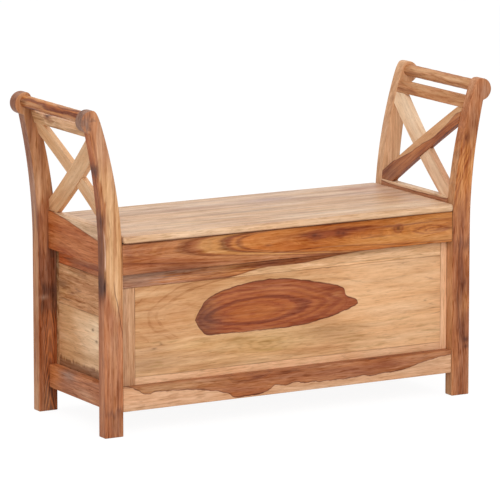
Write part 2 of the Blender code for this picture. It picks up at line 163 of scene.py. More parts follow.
for lamp_name, place, size, power in (("front_lamp", (-1.6, -3.4, 2.6), 2.6, 84),
                                      ("top_lamp", (0.8, 0.4, 3.4), 2.4, 24)):
    lamp = bpy.data.lights.new(lamp_name, "AREA")
    lamp.shape = "SQUARE"
    lamp.size = size
    lamp.energy = power
    lamp_object = bpy.data.objects.new(lamp_name, lamp)
    lamp_object.location = place
    lamp_object.rotation_euler = (Vector(place) - Vector((0, 0, 0.35))).to_track_quat("Z", "Y").to_euler()
    bpy.context.collection.objects.link(lamp_object)


# Posts. Four legs sawn from 29 mm planks of hard, strongly figured wood: upright to the seat, then bowed
# outwards to a round scroll. Their arrises are sanded soft, and satin lacquer covers pale sapwood and dark
# red-brown heartwood.

# A tone is red, green and blue in thousandths of white. Each wood has the tones of its bands, dark to pale.
HONEY = ((0.2, (420, 180, 66)), (0.42, (560, 275, 118)), (0.62, (640, 340, 155)), (0.85, (700, 400, 200)))
CREAM = ((0.2, (500, 270, 135)), (0.42, (620, 370, 200)), (0.62, (700, 440, 255)), (0.85, (770, 520, 330)))
RUSSET = ((0.15, (130, 32, 14)), (0.36, (270, 78, 28)), (0.55, (360, 112, 38)), (0.8, (480, 170, 55)))
AMBER = ((0.15, (220, 55, 18)), (0.36, (380, 110, 30)), (0.55, (490, 160, 42)), (0.8, (600, 240, 70)))
UMBER = ((0.15, (60, 18, 11)), (0.36, (130, 36, 17)), (0.55, (210, 60, 24)), (0.8, (340, 115, 40)))
# The joint tone is dirt together with painted shade in the gaps between parts.
PLUM, PORE, JOINT_DIRT_AND_SHADE, HEART_RIM = (105, 40, 30), (140, 50, 22), (100, 40, 20), (100, 30, 16)


def in_whole(*thousandths):
    """The same numbers out of thousandths: metres from millimetres, or a tone's shares of white."""
    return tuple(number / 1000 for number in thousandths)


class Figure(Tree):
    """The figure of one piece of wood: u along its grain, v across its face and w into it, in metres."""

    def __init__(self, node, along, across, seed, wander=0.004, turn=0.0):
        self.material, tree, self.surface = new_material(node + "_wood")
        super().__init__(tree.tree)
        place = self.node("ShaderNodeTexCoord").outputs["Object"]
        axes = dict(zip("xyz", self.node("ShaderNodeSeparateXYZ", place).outputs))
        into = next(axis for axis in "xyz" if axis not in (along, across))
        self.plain = self.combine(axes[along], axes[across], axes[into])
        self.inward = axes[into]
        self.place = self.plain
        if turn:
            self.place = self.node("ShaderNodeMapping", self.plain, None, (0, 0, -turn)).outputs[0]
        self.sides = [(axes[axis], *(corner["xyz".index(axis)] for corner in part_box(node)))
                      for axis in (along, across)]
        self.seed = (seed * 7.31, seed * 3.17, seed * 5.73)
        self.place = self.vector("ADD", self.place, self.drift(5, 11, (0, 0.013, 0.013)))
        drift = self.drift(3.0, 14, (0.6 * wander, 2 * wander, 2 * wander))
        ripple = self.drift(24, 70, (0.6 * wander, 0.45 * wander, 0.45 * wander))
        self.grown = self.vector("ADD", self.plain, self.vector("ADD", drift, ripple))
        self.u, self.v, self.w = self.node("ShaderNodeSeparateXYZ", self.grown).outputs
        self.torn = self.combine(self.add(self.u, self.swing(12, 240, 0.024, 3)),
                                 self.add(self.v, self.swing(40, 160, 0.0025)), 0)

    def cloud(self, along, across, detail=2, roughness=0.5, colour=False):
        """Noise, drawn out along the grain: how many lumps there are to a metre each way."""
        stretched = self.node("ShaderNodeVectorMath", self.place, (along, across, across), self.seed,
                              operation="MULTIPLY_ADD")
        noise = self.node("ShaderNodeTexNoise", stretched.outputs[0], None, 1, detail, roughness)
        return noise.outputs[1 if colour else 0]

    def drift(self, along, across, reach):
        """How far the growth of the tree has shifted the figure from its straight course."""
        lumps = self.vector("SUBTRACT", self.cloud(along, across, colour=True), (0.5, 0.5, 0.5))
        return self.vector("MULTIPLY", lumps, reach)

    def swing(self, along, across, reach, detail=2):
        """A number that swings to both sides of 0, seldom this far, drawn out along the grain."""
        return self.math("MULTIPLY_ADD", self.cloud(along, across, detail), 2 * reach, -reach)

    def bell(self, value):
        """1 where the value is 0, falling away on both sides."""
        return self.math("EXPONENT", self.times(value, value, -1))

    def near(self, value, middle, width):
        return self.bell(self.math("DIVIDE", self.minus(value, middle), width))

    def fade(self, value, start, end):
        """0 up to start and 1 from end on, which may be the lower of the two."""
        if start > end:
            return self.minus(1, self.fade(value, end, start))
        return self.node("ShaderNodeMapRange", value, start, end, 0, 1,
                         interpolation_type="SMOOTHSTEP").outputs[0]

    def patches(self, along, across, start, end, detail=4):
        """Scattered patches drawn out along the grain, 1 where a swing between -1 and 1 passes end."""
        return self.fade(self.swing(along, across, 1, detail), start, end)

    def ellipse(self, u, v, reach_u, reach_v, turn=0, torn=True):
        """Distance from a place on the face: 1 on an ellipse, given in mm and torn along the fibres."""
        u, v, reach_u, reach_v = in_whole(u, v, reach_u, reach_v)
        flat = self.torn if torn else self.combine(self.u, self.v, 0)
        placed = self.node("ShaderNodeMapping", flat, (u, v, 0), (0, 0, radians(turn)),
                           (reach_u, reach_v, 1), vector_type="TEXTURE")
        return self.vector("LENGTH", placed.outputs[0])

    def pith(self, v, w, spacing):
        """Growth rings, this far apart, round a pith that runs along the grain at (v, w)."""
        across = self.vector("MULTIPLY", self.vector("SUBTRACT", self.grown, (0, v, w)), (0, 1, 1))
        return self.math("DIVIDE", self.vector("LENGTH", across), spacing)

    def flame(self, middle, reach_u, reach_v, power=3):
        """u of the tip of the flame that passes here: flames point down the grain and open up it."""
        off = self.math("ABSOLUTE", self.math("DIVIDE", self.minus(self.v, middle), reach_v))
        return self.minus(self.u, self.times(self.math("POWER", off, power), reach_u))

    def line(self, points):
        """v of a line drawn along the face through these (u, v) points, given in mm."""
        points = [in_whole(*point) for point in points]
        low, high = min(v for _, v in points) - 0.001, max(v for _, v in points) + 0.001
        start, end = points[0][0], points[-1][0]
        along = self.node("ShaderNodeMapRange", self.u, start, end).outputs[0]
        node = self.node("ShaderNodeFloatCurve", 1, along)
        curve = node.mapping.curves[0]
        places = [((u - start) / (end - start), (v - low) / (high - low)) for u, v in points]
        curve.points[0].location, curve.points[1].location = places[0], places[-1]
        for place in places[1:-1]:
            curve.points.new(*place)
        node.mapping.update()
        return self.math("MULTIPLY_ADD", node.outputs[0], high - low, low)

    def ramp(self, value, stops, start=0, end=1):
        """Colours along a value, at these places of it."""
        share = self.node("ShaderNodeMapRange", value, start, end).outputs[0]
        node = self.node("ShaderNodeValToRGB", share)
        while len(node.color_ramp.elements) < len(stops):
            node.color_ramp.elements.new(1)
        for element, (position, colour) in zip(node.color_ramp.elements, stops):
            element.position = (position - start) / (end - start)
            element.color = (*in_whole(*colour), 1)
        return node.outputs[0]

    def wash(self, colour, tone, *amounts):
        """Lays a tone over the colour, as strongly as these amounts multiplied with each other."""
        return self.mix(self.times(*amounts), colour, (*in_whole(*tone), 1))

    def touch(self, colour, *touches):
        """Washes over a colour at some places on the face: (the ellipse, the amount, the tone) of each."""
        for place, amount, tone in touches:
            colour = self.wash(colour, tone, self.bell(self.ellipse(*place)), amount)
        return colour

    def bands(self, rings, scale, detail):
        """Noise along a single value, the same all along a growth ring."""
        return self.node("ShaderNodeTexNoise", None, rings, scale, detail, 0.5,
                         noise_dimensions="1D").outputs[0]

    def timber(self, rings, tones, contrast=0.5):
        """Bands of colour that follow the growth rings, with thin lines among them, and blotches."""
        level = self.math("MULTIPLY_ADD", self.minus(self.bands(rings, 1, 1.6), 0.5), 1.6 * contrast, 0.5)
        level = self.add(level, self.swing(2.2, 20, 0.6, 4), self.swing(9, 75, 0.45, 3))
        thin = self.fade(self.bands(rings, 2.7, 1), 0.60, 0.68)
        thin = self.times(thin, self.fade(self.cloud(4, 40), 0.40, 0.6), -0.6 * contrast)
        return self.ramp(self.add(level, thin), tones)

    def heart_and_sap(self, heart, heart_colour, sap_colour, rim=0.0011, rim_strength=0.55):
        """Heartwood where heart is above 0, with a dark rim, and sapwood outside it."""
        colour = self.mix(self.fade(heart, -0.0006, 0.0006), sap_colour, heart_colour)
        return self.wash(colour, HEART_RIM, self.near(heart, 0.7 * rim, rim), rim_strength)

    def gamma(self, colour, power):
        return self.node("ShaderNodeGamma", colour, power).outputs[0]

    def paint(self, colour, streaks=0.6, gloss=0.42, joints=0.0, mottle=0.25):
        """Adds fibres, pores, dark joints (dirt and painted shade where parts meet) and satin lacquer to the
        colour, and finishes the material.
        """
        fibre = self.cloud(7, 150, 5, 0.65)
        fine = self.cloud(30, 420, 2, 0.6)
        wave = self.minus(self.add(self.times(fibre, 0.6), self.times(fine, 0.4)), 0.5)
        flecks = self.times(self.fade(self.cloud(26, 250, 2), 0.56, 0.68), -0.11 * streaks)
        shade = self.add(self.times(wave, 0.75 * streaks), self.swing(4, 45, 0.2 * mottle, 4), flecks,
                         0.012)
        colour = self.gamma(colour, self.add(self.swing(5, 40, 1.3 * mottle, 5), 1))
        seen = self.vector("ADD", self.gamma(colour, 1 / 2.2), self.combine(shade, shade, shade))
        colour = self.gamma(self.vector("MAXIMUM", seen, (0.05, 0.03, 0.02)), 2.2)
        pores = self.fade(self.cloud(45, 900, 1), 0.64, 0.74)
        colour = self.wash(colour, PORE, pores, 0.35)
        # Dark joints: dirt and painted shade along the edges of each piece, where it meets the next part.
        if joints:
            inset = [self.minus(axis, low) for axis, low, _ in self.sides]
            inset += [self.minus(high, axis) for axis, _, high in self.sides]
            nearest = [self.math("MINIMUM", *inset[:2]), self.math("MINIMUM", *inset[2:])]
            by_edge = self.fade(self.math("MINIMUM", *nearest), 0.0021, 0.0005)
            patchy = self.fade(self.cloud(16, 16), 0.3, 0.65)
            colour = self.wash(colour, JOINT_DIRT_AND_SHADE, by_edge, patchy, joints)
        relief = self.add(fibre, self.times(fine, 0.35), self.times(pores, -1.4))
        bump = self.node("ShaderNodeBump", 0.3, 0.0005, named={"Height": relief})
        roughness = self.add(gloss, self.times(fibre, 0.16), self.times(pores, 0.2))
        shader = self.node("ShaderNodeBsdfPrincipled", named={
            "Base Color": colour, "Roughness": roughness, "Normal": bump.outputs[0],
            "Specular IOR Level": 0.16, "Coat Weight": 0.03, "Coat Roughness": 0.25})
        self.fill(self.surface, shader.outputs[0])
        return self.material


def stands_for(piece, body, node):
    """The piece takes the place of this solid and moves with the body."""
    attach(piece, body)
    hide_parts(node)


def new_tree(name, **inputs):
    """A Geometry Nodes tree with these named inputs besides the mesh that it is given."""
    group = bpy.data.node_groups.new(name, "GeometryNodeTree")
    group.interface.new_socket("Mesh", in_out="INPUT", socket_type="NodeSocketGeometry")
    for label, kind in inputs.items():
        group.interface.new_socket(label, in_out="INPUT", socket_type="NodeSocket" + kind)
    group.interface.new_socket("Wood", in_out="INPUT", socket_type="NodeSocketMaterial")
    group.interface.new_socket("Mesh", in_out="OUTPUT", socket_type="NodeSocketGeometry")
    tree = Tree(group)
    return tree, {socket.name: socket for socket in tree.node("NodeGroupInput").outputs if socket.name}


def finish_tree(tree, geometry, given):
    """Makes the instances real and gives the mesh its finish."""
    plain = tree.node("GeometryNodeRealizeInstances", geometry)
    painted = tree.node("GeometryNodeSetMaterial", plain.outputs[0], named={"Material": given["Wood"]})
    tree.node("NodeGroupOutput", painted.outputs[0])
    return tree


def link_mesh(name, mesh):
    piece = bpy.data.objects.new(name, mesh)
    bpy.context.collection.objects.link(piece)
    return piece


def grow(name, tree, mesh, **values):
    """The plain mesh that a Geometry Nodes tree makes out of a mesh and these values, as an object."""
    source = link_mesh(name + "_source", mesh)
    modifier = source.modifiers.new("Made", "NODES")
    modifier.node_group = tree.tree
    for item in tree.tree.interface.items_tree:
        if item.in_out == "INPUT" and item.name in values:
            modifier[item.identifier] = values[item.name]
    bpy.context.view_layer.update()
    made = bpy.data.meshes.new_from_object(source.evaluated_get(bpy.context.evaluated_depsgraph_get()))
    bpy.data.objects.remove(source)
    return link_mesh(name, made)


def soften(piece, width, segments=3, angle=35):
    """Rounds the arrises, as sandpaper does, and shades them smoothly."""
    bevel = piece.modifiers.new("Arrises", "BEVEL")
    bevel.width = width
    bevel.segments = segments
    bevel.limit_method = "ANGLE"
    bevel.angle_limit = radians(angle)
    bevel.harden_normals = True
    piece.data.shade_smooth()
    piece.data.set_sharp_from_angle(angle=radians(angle))


POST_INSIDE, POST_OUTSIDE = 0.4195, 0.4650
POST_DEPTH = 0.029
POST_FACE = 0.171
INNER_BOW, OUTER_BOW = 0.370, 0.380
SCROLL = (0.493, 0.695)
SCROLL_RADIUS = 0.0249
SHOULDER = (0.468, 0.683)
SHOULDER_PULL, CROWN_PULL = 0.44, 0.17
NECK_TURN, CROWN_TURN = radians(-80), radians(105)
SOFT_ARRIS = 0.0042
WELD = 0.00002


def sawn_post_tree():
    """A post's outline, drawn flat with its height along Y, as Fill Curve needs it, and then made thick."""
    tree, given = new_tree(
        "sawn_post", FootInside="Float", FootOutside="Float", InnerBow="Float", OuterBow="Float",
        ScrollCentre="Vector", ScrollRadius="Float", Neck="Float", Crown="Float", Shoulder="Vector",
        ShoulderHandle="Vector", CrownHandle="Vector", Depth="Float")

    def on_scroll(turn):
        """The point of the scroll's edge at this angle."""
        reach = tree.combine(tree.math("COSINE", turn), tree.math("SINE", turn), 0)
        reach = tree.vector("SCALE", reach, None, None, given["ScrollRadius"])
        return tree.vector("ADD", given["ScrollCentre"], reach)

    def bow(x, start, end):
        """A parabola that leaves the upright foot and leans outwards to its end."""
        end_height = tree.node("ShaderNodeSeparateXYZ", end).outputs[1]
        middle = tree.combine(x, tree.times(tree.add(start, end_height), 0.5), 0)
        return tree.node("GeometryNodeCurveQuadraticBezier", 28, tree.combine(x, start, 0), middle, end)

    corners = [tree.combine(given[foot], height, 0) for foot, height in (
        ("FootInside", given["InnerBow"]), ("FootInside", 0), ("FootOutside", 0),
        ("FootOutside", given["OuterBow"]))]
    edges = [tree.node("GeometryNodeCurvePrimitiveLine", start, end)
             for start, end in zip(corners, corners[1:])]
    edges.append(bow(given["FootInside"], given["InnerBow"], given["Shoulder"]))
    edges.append(bow(given["FootOutside"], given["OuterBow"], on_scroll(given["Neck"])))
    edges.append(tree.node("GeometryNodeCurvePrimitiveBezierSegment", 14, given["Shoulder"],
                           given["ShoulderHandle"], given["CrownHandle"], on_scroll(given["Crown"])))
    scroll = tree.node("GeometryNodeCurveArc", 40, named={
        "Radius": given["ScrollRadius"], "Start Angle": given["Neck"],
        "Sweep Angle": tree.minus(given["Crown"], given["Neck"])})
    edges.append(tree.node("GeometryNodeTransform", scroll.outputs[0],
                           named={"Translation": given["ScrollCentre"]}))
    joined = tree.node("GeometryNodeJoinGeometry")
    for edge in edges:
        tree.fill(joined.inputs[0], edge.outputs[0])
    wire = tree.node("GeometryNodeCurveToMesh", joined.outputs[0])
    wire = tree.node("GeometryNodeMergeByDistance", wire.outputs[0], named={"Distance": WELD})
    outline = tree.node("GeometryNodeMeshToCurve", wire.outputs[0])
    face = tree.node("GeometryNodeFillCurve", outline.outputs[0], mode="NGONS")
    raised = tree.node("GeometryNodeExtrudeMesh", face.outputs[0], named={
        "Offset": tree.combine(0, 0, given["Depth"]), "Individual": False})
    solid = tree.node("GeometryNodeJoinGeometry", raised.outputs[0])
    tree.fill(solid.inputs[0], tree.node("GeometryNodeFlipFaces", face.outputs[0]).outputs[0])
    solid = tree.node("GeometryNodeMergeByDistance", solid.outputs[0], named={"Distance": WELD})
    return finish_tree(tree, solid.outputs[0], given)


sawn_post = sawn_post_tree()


def sawn(name, side, middle_y, wood):
    """One post, stood in its place."""
    lean = Vector((2 * (SHOULDER[0] - POST_INSIDE), SHOULDER[1] - INNER_BOW)).normalized()
    crown = Vector((SCROLL[0] + SCROLL_RADIUS * cos(CROWN_TURN),
                    SCROLL[1] + SCROLL_RADIUS * sin(CROWN_TURN)))
    chord = (crown - Vector(SHOULDER)).length
    shoulder_handle = Vector(SHOULDER) + lean * chord * SHOULDER_PULL
    crown_handle = crown + Vector((-sin(CROWN_TURN), cos(CROWN_TURN))) * chord * CROWN_PULL
    piece = grow(
        name, sawn_post, bpy.data.meshes.new(name), FootInside=POST_INSIDE, FootOutside=POST_OUTSIDE,
        InnerBow=INNER_BOW, OuterBow=OUTER_BOW, ScrollCentre=(*SCROLL, 0), ScrollRadius=SCROLL_RADIUS,
        Neck=NECK_TURN, Crown=CROWN_TURN, Shoulder=(*SHOULDER, 0), ShoulderHandle=(*shoulder_handle, 0),
        CrownHandle=(*crown_handle, 0), Depth=POST_DEPTH, Wood=wood)
    back = middle_y + POST_DEPTH / 2
    piece.data.transform(Matrix(((side, 0, 0, 0), (0, 0, -1, back), (0, 1, 0, 0), (0, 0, 0, 1))))
    if side < 0:
        piece.data.flip_normals()
    soften(piece, SOFT_ARRIS, segments=5)
    return piece


def front_left_post_wood():
    """Honey sapwood above, red-brown below, with cracks and a painted highlight: a pale streak down its
    outer edge.
    """
    wood = Figure("post_front_left", "z", "x", 1, wander=0.003)
    upper = wood.timber(wood.pith(-0.3, -0.2, 0.01), HONEY, 0.5)
    lower = wood.timber(wood.pith(-0.52, -0.12, 0.008), RUSSET, 0.6)
    lower = wood.wash(lower, (500, 210, 105), 0.5)
    meet = wood.add(wood.u, wood.times(wood.add(wood.v, 0.44), 1.6), wood.swing(8, 60, 0.05))
    colour = wood.mix(wood.fade(meet, 0.33, 0.25), upper, lower)
    colour = wood.wash(colour, (420, 185, 100), wood.fade(meet, 0.5, 0.61), 0.75)
    outer = wood.fade(wood.inward, -0.1704, -0.169)
    face = wood.timber(wood.add(wood.times(wood.w, 120), wood.swing(6, 20, 1.0)), RUSSET, 0.7)
    face = wood.wash(face, (460, 175, 78), wood.fade(wood.u, 0.31, 0.28), 0.7)
    face = wood.wash(face, (560, 165, 45), wood.fade(wood.u, 0.45, 0.58), 0.7)
    flush = wood.line([(440, -460), (500, -462.5), (550, -469), (600, -475), (650, -479), (720, -481)])
    flush = wood.add(wood.v, wood.times(flush, -1), wood.swing(14, 110, 0.01, 3))
    flush = wood.times(wood.fade(flush, 0.0015, -0.0015), wood.fade(wood.u, 0.44, 0.5), 0.75)
    colour = wood.wash(colour, (470, 165, 60), flush)
    colour = wood.mix(outer, colour, face)
    dark = wood.times(wood.fade(wood.add(wood.w, wood.swing(14, 120, 0.01, 3)), -0.148, -0.156),
        wood.fade(wood.add(wood.u, wood.swing(6, 160, 0.06, 3)), 0.285, 0.315),
        wood.fade(wood.add(wood.u, wood.swing(6, 160, 0.1, 3)), 0.62, 0.575))
    split = wood.times(wood.near(wood.add(wood.w, wood.swing(9, 30, 0.003, 3)), -0.1595, 0.0011),
        wood.fade(wood.u, 0.3, 0.33), wood.fade(wood.u, 0.6, 0.56))
    colour = wood.wash(colour, (220, 62, 20), outer, dark, 0.25)
    colour = wood.wash(colour, (50, 16, 8), outer, split, 0.7)
    colour = wood.wash(colour, (240, 125, 82), outer, wood.fade(wood.u, 0.668, 0.682), 0.8)
    spots = wood.times(wood.patches(70, 60, 0.02, 0.3, 3), wood.fade(wood.u, 0.655, 0.68), 0.55)
    colour = wood.wash(colour, (110, 55, 38), spots)
    arris = wood.add(wood.v, wood.line([(290, 466), (360, 466), (400, 465.5), (460, 469), (520, 480),
        (580, 487), (640, 496), (680, 502)]))
    edge = wood.add(arris, wood.swing(30, 200, 0.006, 3))
    edge = wood.times(wood.fade(edge, 0.0065, 0.003), wood.fade(wood.u, 0.29, 0.32),
        wood.fade(wood.u, 0.66, 0.58))
    colour = wood.wash(colour, (150, 45, 18), edge, 0.55)
    lengths = wood.add(wood.times(wood.fade(wood.u, 0.365, 0.38), wood.fade(wood.u, 0.465, 0.445)),
        wood.times(wood.fade(wood.u, 0.5, 0.512), wood.fade(wood.u, 0.6, 0.575)))
    # Painted highlight: a pale streak along the rounded outer arris, in two lengths.
    arris_highlight = wood.times(wood.near(wood.add(arris, wood.swing(9, 30, 0.002, 3)), 0.0024, 0.0012), lengths)
    colour = wood.wash(colour, (720, 440, 330), arris_highlight, 0.85)
    crack = wood.minus(wood.v, wood.line([(200, -420), (226, -421), (248, -425), (277, -430), (299, -434),
        (322, -439), (345, -440)]))
    crack = wood.times(wood.bell(wood.math("DIVIDE", crack, 0.0009)), wood.fade(wood.u, 0.205, 0.23),
        wood.fade(wood.u, 0.355, 0.325), wood.fade(wood.w, -0.167, -0.169))
    colour = wood.wash(colour, (80, 25, 15), crack, 0.85)
    blotches = wood.add(wood.swing(12, 60, 1, 4), wood.times(wood.fade(wood.u, 0.3, 0.2), 0.1))
    colour = wood.wash(colour, (300, 110, 55), wood.fade(blotches, 0.12, 0.45), 0.55)
    colour = wood.touch(colour,
        ((52, -445, 8, 16), 0.6, (150, 55, 40)), ((60, -430, 5, 8), 0.55, (150, 55, 40)),
        ((25, -440, 30, 14), 0.5, (260, 120, 75)), ((220, -440, 60, 6), 0.4, (560, 290, 150)),
        ((105, -433, 30, 5), 0.5, (260, 90, 45)), ((175, -445, 50, 4), 0.4, (300, 100, 45)),
        ((255, -450, 50, 8), 0.4, (320, 105, 55)), ((430, -440, 60, 4), 0.35, (460, 205, 90)),
        ((590, -480, 14, 4), 0.85, (60, 20, 14)), ((335, -463.5, 22, 2.8), 0.9, (30, 15, 15)),
        ((480, -465.5, 18, 4), 0.7, (130, 45, 30)), ((620, -482, 60, 2.2, -6), 0.6, (180, 52, 22)),
        ((655, -488, 30, 2, -10), 0.55, (200, 60, 26)), ((520, -468, 50, 2, -4), 0.55, (180, 52, 22)),
        ((695, -508, 20, 14), 0.85, (280, 155, 110)), ((690, -504, 8, 3), 0.6, (140, 70, 50)),
        ((702, -500, 6, 3), 0.5, (160, 80, 56)))
    return wood.paint(colour, 0.7, mottle=0.3)


def front_right_post_wood():
    """Red-brown heartwood, orange where it was cut across a curl, purple-brown rings lower down."""
    wood = Figure("post_front_right", "z", "x", 2, wander=0.006)
    colour = wood.timber(wood.add(wood.pith(0.5, -0.145, 0.012), wood.swing(9, 30, 1.4, 3)), RUSSET, 0.5)
    colour = wood.wash(colour, (560, 240, 115), 0.25)
    colour = wood.wash(colour, (490, 195, 80), wood.fade(wood.u, 0.36, 0.5), 0.9)
    curl = wood.add(wood.times(wood.u, 60), wood.times(wood.v, -150), wood.swing(20, 40, 1.5))
    curl = wood.timber(curl, AMBER, 0.8)
    colour = wood.mix(wood.times(wood.near(wood.u, 0.52, 0.085), 0.9), colour, curl)
    colour = wood.touch(colour,
        ((610, 472, 30, 16, 8), 0.6, (200, 62, 30)), ((585, 456, 12, 10), 0.55, (150, 46, 26)),
        ((440, 455, 40, 2.5, 6), 0.6, (200, 56, 24)), ((400, 446, 50, 2.5), 0.55, (200, 58, 26)),
        ((490, 463, 35, 12, 25), 0.5, (600, 220, 60)), ((555, 466, 30, 4, 14), 0.55, (260, 70, 26)),
        ((520, 458, 24, 3, 18), 0.5, (280, 74, 26)), ((210, 455, 26, 12, 12), 0.75, (540, 215, 80)),
        ((345, 450, 12, 30, 12), 0.55, (130, 36, 22)), ((128, 455, 7, 8, 0, False), 0.85, (75, 22, 16)),
        ((112, 457, 5, 7, 0, False), 0.7, (75, 22, 16)), ((155, 440, 20, 12), 0.5, (170, 50, 28)),
        ((290, 440, 30, 8), 0.5, (170, 50, 25)), ((255, 450, 10, 6), 0.55, (130, 38, 22)),
        ((60, 440, 50, 20), 0.35, (440, 170, 75)), ((420, 436, 30, 5), 0.45, (240, 70, 30)),
        ((690, 500, 20, 20), 0.55, (420, 220, 140)), ((645, 470, 20, 10), 0.35, (400, 200, 120)))
    inner = wood.times(wood.fade(wood.inward, -0.1704, -0.169), wood.fade(wood.v, 0.445, 0.435))
    colour = wood.wash(colour, (560, 285, 130), inner, 0.7)
    return wood.paint(colour, 0.9, mottle=0.35)


def back_left_post_wood():
    """Pale pinkish outer face, the front dark: an eye with flames under it, honey-brown above the seat."""
    wood = Figure("post_back_left", "z", "x", 3, wander=0.005)
    dark = wood.timber(wood.add(wood.pith(-0.43, 0.1, 0.009), wood.swing(7, 30, 1.6, 3)), UMBER, 0.8)
    above = wood.timber(wood.add(wood.pith(-0.4, 0.12, 0.01), wood.swing(9, 30, 1.6, 3)), RUSSET, 0.6)
    above = wood.wash(above, (520, 270, 125), 0.65)
    colour = wood.mix(wood.fade(wood.add(wood.u, wood.swing(8, 50, 0.08)), 0.42, 0.5), dark, above)
    colour = wood.wash(colour, (500, 190, 80), 0.2)
    flame = wood.add(wood.flame(-0.437, -0.09, 0.016, 2), wood.swing(12, 50, 0.05, 3))
    flame = wood.times(wood.near(wood.math("FRACT", wood.times(flame, 26)), 0.5, 0.22),
        wood.fade(wood.u, 0.24, 0.21))
    colour = wood.wash(colour, (500, 155, 46), flame, 0.85)
    colour = wood.touch(colour,
        ((272, -440, 14, 30), 0.65, (50, 18, 14)), ((258, -452, 5, 9, 0, False), 0.8, (360, 210, 140)),
        ((330, -440, 40, 6), 0.5, (200, 62, 28)), ((600, -455, 70, 5), 0.55, (200, 70, 34)),
        ((520, -426, 70, 6), 0.8, (120, 36, 20)), ((640, -480, 40, 8), 0.5, (240, 105, 70)))
    pale = wood.timber(wood.pith(-0.3, 0.3, 0.01), HONEY, 0.6)
    pale = wood.wash(pale, (460, 185, 85), 0.65)
    greyer = wood.fade(wood.add(wood.u, wood.swing(6, 120, 0.12, 3)), 0.4, 0.47)
    pale = wood.wash(pale, (240, 95, 65), greyer, 0.6)
    pale = wood.wash(pale, (240, 95, 60), wood.patches(5, 120, 0.12, 0.45))
    colour = wood.mix(wood.fade(wood.inward, 0.144, 0.1425), pale, colour)
    return wood.paint(colour, 0.75, mottle=0.45)


def back_right_post_wood():
    """Straight-grained pale sapwood, with one small dark nick near the top."""
    wood = Figure("post_back_right", "z", "x", 4)
    colour = wood.timber(wood.pith(0.3, 0.05, 0.01), HONEY, 0.4)
    colour = wood.wash(colour, (740, 450, 290), 0.35)
    colour = wood.touch(colour, ((640, 452, 6, 3, 0, False), 0.8, PLUM),
        ((560, 440, 60, 6), 0.3, (520, 280, 170)))
    return wood.paint(colour, 0.6)


POST_MIDDLE = POST_FACE - POST_DEPTH / 2
for name, side, middle_y, wood in (("front_left", -1, -POST_MIDDLE, front_left_post_wood()),
                                   ("front_right", 1, -POST_MIDDLE, front_right_post_wood()),
                                   ("back_left", -1, POST_MIDDLE, back_left_post_wood()),
                                   ("back_right", 1, POST_MIDDLE, back_right_post_wood())):
    stands_for(sawn(name + "_post", side, middle_y, wood), "chest", "post_" + name)


# Boards and rails. Straight sawn pieces: aprons under the lid, lower rails, seat rails at the ends, and
# between them thin panels glued up from several boards. Each has sanded arrises and its own cut of wood.

RAIL_ARRIS, PANEL_ARRIS = 0.002, 0.0008


def mesh_of(name, bm):
    """The finished mesh of a piece."""
    mesh = bpy.data.meshes.new(name)
    bm.to_mesh(mesh)
    bm.free()
    return mesh


def board(node, wood, body="chest", arris=RAIL_ARRIS, segments=3, corner=0.0):
    """A sawn board in the place of a solid, its upright corners rounded where a radius is given."""
    low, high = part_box(node)
    bm = bmesh.new()
    stand = Matrix.Translation((high + low) / 2) @ Matrix.Diagonal((*(high - low), 1))
    bmesh.ops.create_cube(bm, size=1, matrix=stand)
    if corner:
        upright = [edge for edge in bm.edges if abs(edge.verts[0].co.z - edge.verts[1].co.z) > 0.01]
        bmesh.ops.bevel(bm, geom=upright, offset=corner, segments=8, profile=0.5, affect="EDGES")
    piece = link_mesh(node + "_piece", mesh_of(node + "_piece", bm))
    piece.data.materials.append(wood)
    soften(piece, arris, segments)
    stands_for(piece, body, node)


